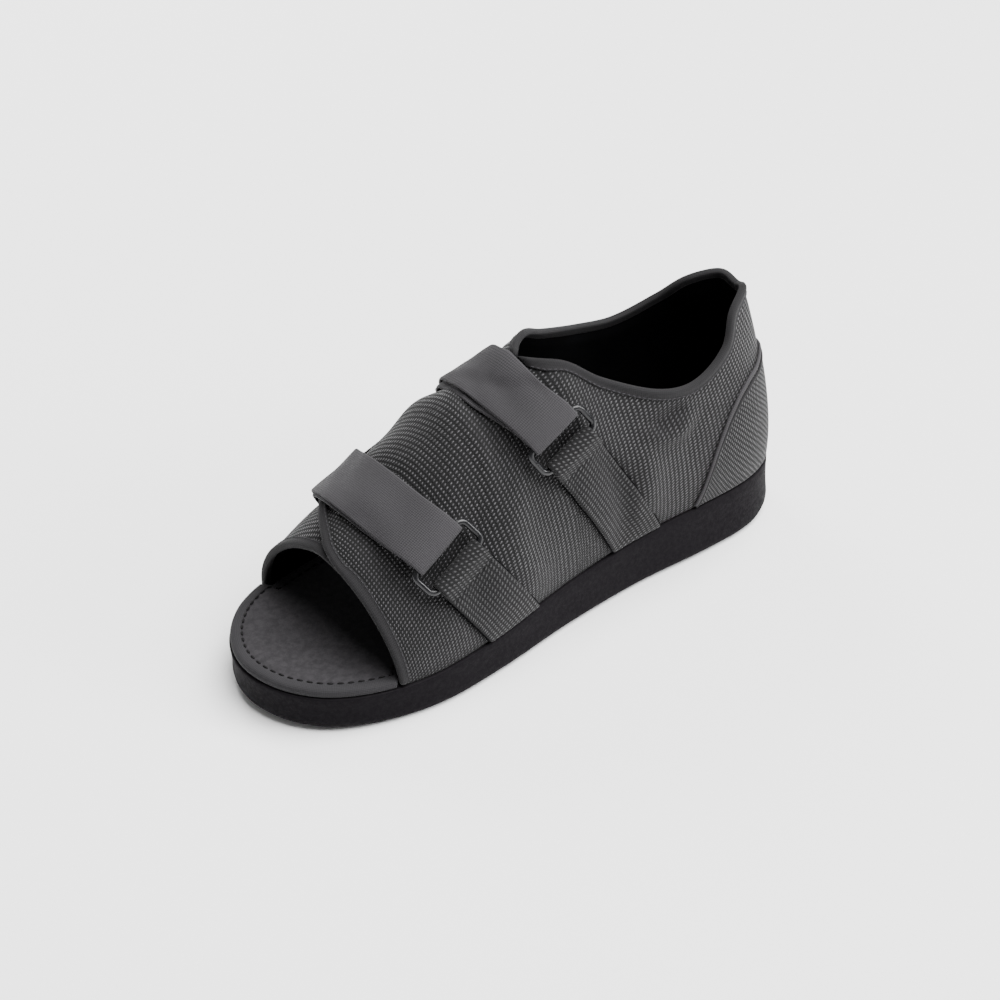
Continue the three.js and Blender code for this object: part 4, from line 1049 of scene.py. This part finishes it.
def near_edge_path():
    """Places along the ring side flap's edge, from the throat to the corner and down the toe
    opening to the foot: the two edges meet in a wide round corner."""
    medial = mix(THROAT + 0.004, OPENING, steps(EDGE_SAMPLES))
    down = mix(float(flap_edge(OPENING)), FOOT_ACROSS, steps(EDGE_SAMPLES))[1:]
    share = np.concatenate([medial, np.full(EDGE_SAMPLES, OPENING)])
    a = np.concatenate([flap_edge(medial), down])
    for _ in range(2):
        run = run_along(over_wall(share, a, 0.0))
        at = np.linspace(0, run[-1], EDGE_POINTS)
        share, a = np.interp(at, run, share), np.interp(at, run, a)
    reach = BELL_REACH
    bell = np.exp(-0.5 * (np.arange(-reach, reach + 1) * at[1] / CORNER_ROUND) ** 2)
    bell = bell / bell.sum()

    def rounded(values):
        before = 2 * values[0] - values[1:reach + 1][::-1]
        after = 2 * values[-1] - values[-reach - 1:-1][::-1]
        return np.convolve(np.concatenate([before, values, after]), bell, mode="valid")

    return rounded(share)[::EDGE_STRIDE], rounded(a)[::EDGE_STRIDE]


def make_near_binding():
    """Binds the ring side flap's edge and its part of the toe opening in one run."""
    share, a = NEAR_EDGE
    tangent = unit(np.gradient(over_wall(share, a, 0.0), axis=0))
    step = EDGE_STEP
    per_share = (over_wall(share + step, a, 0) - over_wall(share - step, a, 0)) / (2 * step)
    per_a = (over_wall(share, a + step, 0) - over_wall(share, a - step, 0)) / (2 * step)
    side = np.where(a < 0, -1.0, 1.0)
    inward = unit(np.cross(wall_normal(side, share, np.abs(a)), tangent))
    ss, sa, aa = dot(per_share, per_share), dot(per_share, per_a), dot(per_a, per_a)
    i_s, i_a = dot(inward, per_share), dot(inward, per_a)
    d_share = (i_s * aa - i_a * sa) / (ss * aa - sa * sa) * BOUND_LEG
    d_a = (i_a * ss - i_s * sa) / (ss * aa - sa * sa) * BOUND_LEG
    flip = np.where(d_a - d_share * 4 < 0, -1.0, 1.0)
    d_share, d_a = d_share * flip, d_a * flip
    stations, folds = [], []
    for i in range(len(a)):
        proud = proud_at(a[i], share[i])
        lap = proud / FLAP_THICKNESS
        under = mix(-EDGE_WALL, 1.2, float(smooth(0.2, 0.9, lap)))
        stations.append((side[i], share[i], abs(a[i]), d_share[i], d_a[i] * side[i]))
        folds.append((proud + BOUND_GAP, under, 1.0, mix(0.7, 0.25, lap)))
    make_binding("ring_side_flap", stations, folds, ["flap_tape", "toe_tape_ring_side"])


def make_far_binding():
    """Binds the far side's part of the toe opening, on to where it runs under the other flap."""
    step = 0.01
    run = wall_point(1, OPENING, 0.5) - wall_point(1, OPENING - step, 0.5)
    leg = -BOUND_LEG * step / np.linalg.norm(run)
    (start, end), sunk = FAR_SINK
    stations, folds = [], []
    for a in mix(-FOOT_ACROSS, FAR_END, steps(90)):
        stations.append((-1.0 if a < 0 else 1.0, OPENING, abs(a), leg, 0.0))
        over = mix(BOUND_GAP, sunk, float(smooth(start, end, a)))
        folds.append((over, -EDGE_WALL, 1.0, INNER_LEG))
    make_binding("far_flap", stations, folds, ["toe_tape_far_side"], stitched=FAR_STITCHED)


# ---- Heel counter ----
COUNTER_FOOT = 0.985
COUNTER_TOP = 0.97  # the across that its panel at least goes up to
COUNTER_SKINS = (0.75, 0.1)
COUNTER_FULL = 0.45  # how far it swells past its seam
COUNTER_SWELL = 0.04  # the across over which it does
CORD_SIDES = 10
CORD_WIDE, CORD_HIGH = 1.25, 0.8
CORDS = [
    {"name": "counter_piping", "shift": -0.012, "radius": 1.0, "lift": 0.75, "finish": WEBBING},
    {"name": "counter_seam_cord", "shift": 0.02, "radius": 0.7, "lift": 1.15, "finish": BINDING},
]


def make_counter():
    """The panel round the heel, and the double piping along its seam."""
    shares = share_of(steps(70) * angle_of(COUNTER_EDGE["along"][-1]))
    share = np.concatenate([shares[::-1], shares[1:]])
    side = np.where(np.arange(len(share)) < len(shares), -1.0, 1.0)
    edge = counter_edge(share)
    top = np.minimum(COUNTER_TOP, edge)[:, None]
    a = mix(COUNTER_FOOT, top, steps(36)[None, :])
    swell = COUNTER_FULL * smooth(0, COUNTER_SWELL, a - top)
    outer, inner = (
        over_wall(share[:, None], a, lift + swell, side=side[:, None]) for lift in COUNTER_SKINS
    )
    plate_piece("heel_counter_panel", outer, inner, COUNTER_MESH, nodes=["heel_counter"],
                slot="counter_mesh")
    turn = full_turn(CORD_SIDES)[None, :, None]
    for cord in CORDS:
        a = np.clip(edge + cord["shift"], 0, COUNTER_FOOT)
        point = over_wall(share, a, cord["lift"], side=side)
        normal = wall_normal(side, share, a)
        across = unit(np.cross(normal, unit(np.gradient(point, axis=0))))
        wide = np.cos(turn) * across[:, None] * CORD_WIDE
        high = np.sin(turn) * normal[:, None] * CORD_HIGH
        tube_piece(cord["name"], point[:, None] + cord["radius"] * (wide + high), cord["finish"],
                   slot="counter_mesh")


# ---- Straps, bands and rings ----
RING_HALF_RISE = (RING_GAP + RING_BAR) / 2
FLAT_RUN = RING_HALF_RISE + RING_BAR
RING_LIFT = STRIP_GAP + TOUCH_GAP + max(STRAP_THICKNESS, BAND_THICKNESS) + RING_BAR / 2
FLAT_FADE = 2.4  # in flat runs: how soon a strip bends with the shoe past its ring
SLICE_POINTS = 193
SLICE_RANGE = (0.15, OPENING + 0.04)
HALVINGS = 26
RIDGE_FOLLOW = 0.3  # the highest ridge that a strip follows; it presses down the others
FLAP_TO_BARE = (8, 22)  # where a strap comes down from the flap's edge, in millimetres past it
OVER_FLAP_TAPE = (10, 20)
OVER_COLLAR_TAPE = (7, 13)
RIBBON_COLUMNS = 14
CLEAR_OF_BAR = 1.5


class StrapChart:
    """Turns a place on a strap, in millimetres from its ring's middle, into a place on the shoe:
    over is towards the toe, and up is round the shoe, over the crest and down the far side."""

    def __init__(self, row):
        pitch, yaw = math.radians(row["tip"]), math.radians(row["turn"])
        self.sideways = np.array([
            math.cos(pitch) * math.cos(yaw), math.cos(pitch) * math.sin(yaw), -math.sin(pitch)])
        self.ring_at = over_wall(row["along"], row["across"], 0.0)
        outward = wall_normal(1.0, row["along"], row["across"])
        self.upwards = unit(np.cross(self.sideways, outward))
        if self.upwards[2] < 0:
            self.upwards = -self.upwards
        self.slices = {}
        half_over = row["width"] / 2
        run = unit(self.on_shoe(half_over, [0], [0])[0] - self.on_shoe(-half_over, [0], [0])[0])
        rise = (self.on_shoe(0, [RING_HALF_RISE], [0]) - self.on_shoe(0, [-RING_HALF_RISE], [0]))[0]
        out = unit(np.cross(run, rise))
        if out @ outward < 0:
            out = -out
        rise = unit(rise - run * (rise @ run))
        middle = self.on_shoe(0, [0], [0])[0]
        heights = [
            float((self.on_shoe(over, [up], [0])[0] - middle) @ out)
            for over in (-half_over, 0, half_over) for up in (-FLAT_RUN, 0, FLAT_RUN)
        ]
        self.middle = middle + out * max(heights)
        self.run, self.rise, self.out = run, rise, out

    def slice_at(self, over):
        """The strap's line round the shoe at one over: shares, acrosses and lengths from the
        ring."""
        if over in self.slices:
            return self.slices[over]
        target = self.ring_at @ self.sideways + over
        a = np.linspace(1, -1, SLICE_POINTS)
        low, high = (np.full(a.shape, end) for end in SLICE_RANGE)
        side = np.where(a < 0, -1.0, 1.0)
        for _ in range(HALVINGS):
            middle = (low + high) / 2
            before = wall_point(side, middle, np.abs(a)) @ self.sideways < target
            low, high = np.where(before, middle, low), np.where(before, high, middle)
        points = over_wall(low, a, 0.0)
        length = run_along(points)
        height = (points - self.ring_at) @ self.upwards
        after = int(np.argmax(height > 0))
        t = height[after - 1] / (height[after - 1] - height[after])
        self.slices[over] = (low, a, length - mix(length[after - 1], length[after], t))
        return self.slices[over]

    def up_to(self, a, over=0.0):
        _, nodes_a, length = self.slice_at(over)
        return float(np.interp(-a, -nodes_a, length))

    def on_shoe(self, over, up, lift):
        """A place over the upper. Both ends of the strip are cut level with the sole."""
        up, lift = np.asarray(up, float), np.asarray(lift, float)
        nodes_share, nodes_a, length = self.slice_at(over)
        foot, far_foot = self.up_to(STRIP_FOOT), self.up_to(-STRIP_FOOT)
        near = (self.up_to(STRIP_FOOT, over) - foot) * smooth(2 * RING_GAP, -foot, -up)
        far = (self.up_to(-STRIP_FOOT, over) - far_foot) * smooth(far_foot / 2, far_foot, up)
        place = up + near + far
        share = np.interp(place, length, nodes_share)
        a = np.interp(place, length, nodes_a)
        ridge = np.minimum(creases(share, a), RIDGE_FOLLOW)
        return over_wall(share, a, lift + cover(share, a) + ridge)

    def flat(self, over, up, lift):
        """A place over the flat in which the ring lies."""
        over, up, lift = np.broadcast_arrays(over, up, lift)
        return (self.middle + over[..., None] * self.run + up[..., None] * self.rise
                + lift[..., None] * self.out)

    def at(self, over, up, lift):
        """A place on a strip, which is flat at its ring and bends with the shoe away from it."""
        up, lift = np.asarray(up, float), np.asarray(lift, float)
        flatness = 1 - smooth(FLAT_RUN, FLAT_FADE * FLAT_RUN, np.abs(up))[..., None]
        return mix(self.on_shoe(over, up, lift), self.flat(over, up, lift), flatness)


def cover(share, a):
    """What lies between the wall and a strap: the flap, its tape and the collar's tape."""
    side = np.where(a < 0, -1.0, 1.0)
    across = np.maximum(0.05, np.abs(a))
    step = NORMAL_STEP
    at = lambda d_share, d_across: wall_point(side, share + d_share, across + d_across)
    rate = lambda after, before: np.linalg.norm(after - before, axis=-1) / (2 * step)
    per_share = rate(at(step, 0), at(-step, 0))
    per_across = rate(at(0, step), at(0, -step))
    past = (flap_edge(np.maximum(share, THROAT)) - a) * per_across
    on_flap = np.where(a < 0, 1 - smooth(*FLAP_TO_BARE, past), 1)
    from_throat = np.maximum(0, share - THROAT) * per_share
    from_collar = np.hypot(from_throat, np.abs(a) * per_across)
    tape = np.maximum(1 - smooth(*OVER_FLAP_TAPE, np.abs(past)),
                      1 - smooth(*OVER_COLLAR_TAPE, from_collar))
    proud = np.where(a < 0, FLAP_THICKNESS, flap_proud(np.abs(a), share))
    return proud * on_flap + (TOUCH_GAP + TAPE_THICKNESS) * tape


def ribbon(name, chart, path, width, thickness, finish, cup=0.0, drift=None, **more):
    """A strip of cloth along a path of (up, lift), with soft edges. cup is how far its middle
    stands off, and drift is how far it lies out of line at each point of the path."""
    path = np.array(path, float)
    tangent = unit(np.gradient(path, axis=0))
    inside = RIBBON_COLUMNS - 3
    t = np.concatenate([[0, 0.012], np.linspace(0.035, 0.965, inside), [0.988, 1]])
    edge = np.array([0.45, 0.85] + [1.0] * inside + [0.85, 0.45])
    skins = []
    for sign in (1, -1):
        grid = []
        for k, share in enumerate(t):
            over = float((share - 0.5) * width)
            half = sign * thickness / 2 * edge[k]
            up = path[:, 0] - tangent[:, 1] * half
            lift = path[:, 1] + tangent[:, 0] * half + cup * (1 - (2 * share - 1) ** 2)
            place = chart.at(over, up, lift)
            if drift is not None:
                place = place + (chart.at(over + 1, up, lift) - place) * drift[:, None]
            grid.append(place)
        skins.append(np.stack(grid, 1))
    uv = np.stack(np.meshgrid(run_along(path), t * width, indexing="ij"), -1)[..., ::-1]
    plate_piece(name, skins[0], skins[1], finish, uv=uv, **more)


def turn_round(bar, towards, thickness):
    """The half turn of a strip round a bar of its ring."""
    radius = RING_BAR / 2 + TOUCH_GAP + thickness / 2
    q = steps(14) * math.pi
    return list(zip(bar + towards * radius * np.sin(q), RING_LIFT - radius * np.cos(q)))


def make_strap(row, chart):
    """From its sewn end on the far side to the ring, round its bar, and back over itself."""
    low = STRIP_GAP + STRAP_THICKNESS / 2
    foot, end, crest = (chart.up_to(a) for a in (-STRIP_FOOT, row["end"], -0.1))
    bar = RING_HALF_RISE
    turn = turn_round(bar, -1, STRAP_THICKNESS)
    up = mix(foot, bar + CLEAR_OF_BAR, steps(70))
    under = list(zip(up, mix(low, turn[0][1], 1 - smooth(CLEAR_OF_BAR, 16, up - bar))))
    up = mix(bar + CLEAR_OF_BAR, end, steps(60))
    near = 1 - smooth(CLEAR_OF_BAR, 24, up - bar)
    stand = row["slack"] * smooth(16, crest, up) * (1 - smooth(crest + 8, end, up))
    over = list(zip(up, mix(low + STRAP_THICKNESS + TOUCH_GAP, turn[-1][1], near) + stand))
    stray = row["stray"] * smooth(4, 34, np.array(under)[:, 0] - bar)
    drift = np.concatenate([stray, np.zeros(len(turn) + len(over))])
    ribbon(f"{row['name']}_strap_webbing", chart, under + turn + over, row["width"],
           STRAP_THICKNESS, WEBBING, cup=0.6, drift=drift, nodes=[f"{row['name']}_strap"],
           slot="strap_webbing")


def make_band(row, chart):
    """The band that holds a ring: from the sole up, round the ring's bar and sewn to itself, with
    a near-black cord along each edge as painted shade for the shadow gap there."""
    low, top = STRIP_GAP + BAND_THICKNESS / 2, STRIP_GAP + BAND_THICKNESS * 1.5 + TOUCH_GAP
    bar = -RING_HALF_RISE
    turn = turn_round(bar, 1, BAND_THICKNESS)
    up = mix(chart.up_to(STRIP_FOOT), bar - CLEAR_OF_BAR, steps(30))
    under = list(zip(up, mix(turn[0][1], low, smooth(CLEAR_OF_BAR, 8, bar - up))))
    up = mix(bar - CLEAR_OF_BAR, bar - BAND_TURN_BACK, steps(10))
    over = list(zip(up, mix(turn[-1][1], top, smooth(0, 1, steps(10)))))
    ribbon(f"{row['name']}_band_mesh", chart, under + turn + over, row["width"], BAND_THICKNESS,
           BAND_MESH, nodes=[f"{row['name']}_band"], slot="band_mesh")
    half = row["width"] / 2
    up, lift = np.array(under[:-4]).T
    # painted shade: a near-black lining cord along each edge of the band stands in for the shadow
    # gap between the band and the upper
    for place, sign in (("front", 1), ("back", -1)):
        loops = [
            chart.at(sign * (half + 0.15) + 0.55 * math.cos(q), up, lift - 0.45 + 0.5 * math.sin(q))
            for q in full_turn(8)
        ]
        tube_piece(f"{row['name']}_band_{place}_seam", np.stack(loops, 1), LINING, slot="band_mesh")
    up, lift = np.array([bar - BAND_TURN_BACK + 1.6]), np.array([top + BAND_THICKNESS / 2])
    points = [chart.at(float(o), up, lift)[0] for o in np.linspace(1 - half, half - 1, 30)]
    normals = np.tile(chart.out, (len(points), 1))
    stitch_piece(f"{row['name']}_band_stitches", points, normals, THREAD, length=1.9, gap=0.8,
                 radius=0.26, slot="band_mesh")


def make_ring(row, chart):
    """A round bar, bent to a rectangle with round corners."""
    over = (row["width"] + RING_SPARE + RING_BAR) / 2 - RING_CORNER
    up = RING_HALF_RISE - RING_CORNER
    turn = full_turn(16)
    reach = RING_CORNER + RING_BAR / 2 * np.cos(turn)
    lift = RING_LIFT + RING_BAR / 2 * np.sin(turn)
    loops = []
    for x, y, start in ((over, up, 0), (-over, up, 90), (-over, -up, 180), (over, -up, 270)):
        for t in steps(10):
            q = math.radians(start + 90 * t)
            loops.append(chart.flat(x + reach * math.cos(q), y + reach * math.sin(q), lift))
    tube_piece(f"{row['name']}_ring_bar", loops, PLASTIC, closed=True,
               nodes=[f"{row['name']}_ring"], slot="ring_plastic")


NEAR_EDGE = near_edge_path()
make_sole()
make_insole()
make_ring_flap()
make_far_flap()
make_lining()
make_collar_binding()
make_near_binding()
make_far_binding()
make_counter()
for row in STRAPS:
    chart = StrapChart(row)
    make_strap(row, chart)
    make_band(row, chart)
    make_ring(row, chart)


# ---- Floor, light and camera, in metres ----
FLOOR_HALF = 6.0
SKY = {"power": 9.5, "spread": 55, "towards": (0.34, -0.2, -0.92)}
AIM = (0.0, 0.0, 0.06)
PANELS = [
    {"name": "side softbox", "place": (-1.0, 1.0, 0.7), "power": 16, "size": 0.5},
    {"name": "edge light", "place": (-0.15, -1.2, 1.0), "power": 8, "size": 0.5},
]
CAMERA_PLACE = (0.532811, 0.888223, 0.846414)
CAMERA_TURN = (59.15, 37.51, -3.66)  # azimuth, elevation and roll in degrees


def make_floor():
    mesh = bpy.data.meshes.new("studio_floor")
    r = FLOOR_HALF
    mesh.from_pydata([(-r, -r, 0), (r, -r, 0), (r, r, 0), (-r, r, 0)], [], [(0, 1, 2, 3)])
    material, _, shader = new_material("pale floor")
    shader.inputs["Base Color"].default_value = (0.96, 0.96, 0.96, 1)
    shader.inputs["Roughness"].default_value = 0.9
    mesh.materials.append(material)
    place_object("studio_floor", mesh)


def point_at(lamp, towards):
    lamp.rotation_euler = Vector(towards).to_track_quat("-Z", "Y").to_euler()


def make_studio():
    """A wide sky panel for the soft shadow, and two panels for the edges."""
    world = bpy.data.worlds.new("studio")
    world.use_nodes = True
    world.node_tree.nodes["Background"].inputs["Color"].default_value = (1, 1, 1, 1)
    world.node_tree.nodes["Background"].inputs["Strength"].default_value = 0.3
    bpy.context.scene.world = world
    sun = bpy.data.lights.new("sky panel", "SUN")
    sun.energy = SKY["power"]
    sun.angle = math.radians(SKY["spread"])
    point_at(place_object("sky panel", sun), SKY["towards"])
    for panel in PANELS:
        light = bpy.data.lights.new(panel["name"], "AREA")
        light.energy, light.size = panel["power"], panel["size"]
        lamp = place_object(panel["name"], light)
        lamp.location = panel["place"]
        point_at(lamp, Vector(AIM) - Vector(panel["place"]))


def make_camera():
    camera = bpy.data.cameras.new("camera")
    camera.sensor_width, camera.lens = 36, 100.13
    camera.clip_start, camera.clip_end = 0.01, 50
    azimuth, elevation, roll = (math.radians(degrees) for degrees in CAMERA_TURN)
    level = math.cos(elevation)
    back = Vector((math.cos(azimuth) * level, math.sin(azimuth) * level, math.sin(elevation)))
    right = (-back).cross(Vector((0, 0, 1))).normalized()
    up = right.cross(-back)
    rolled = right * math.cos(roll) + up * math.sin(roll)
    upright = up * math.cos(roll) - right * math.sin(roll)
    turn = Matrix((rolled, upright, back)).transposed()
    eye = place_object("camera", camera)
    eye.matrix_world = Matrix.Translation(Vector(CAMERA_PLACE)) @ turn.to_4x4()
    bpy.context.scene.camera = eye


make_floor()
make_studio()
make_camera()
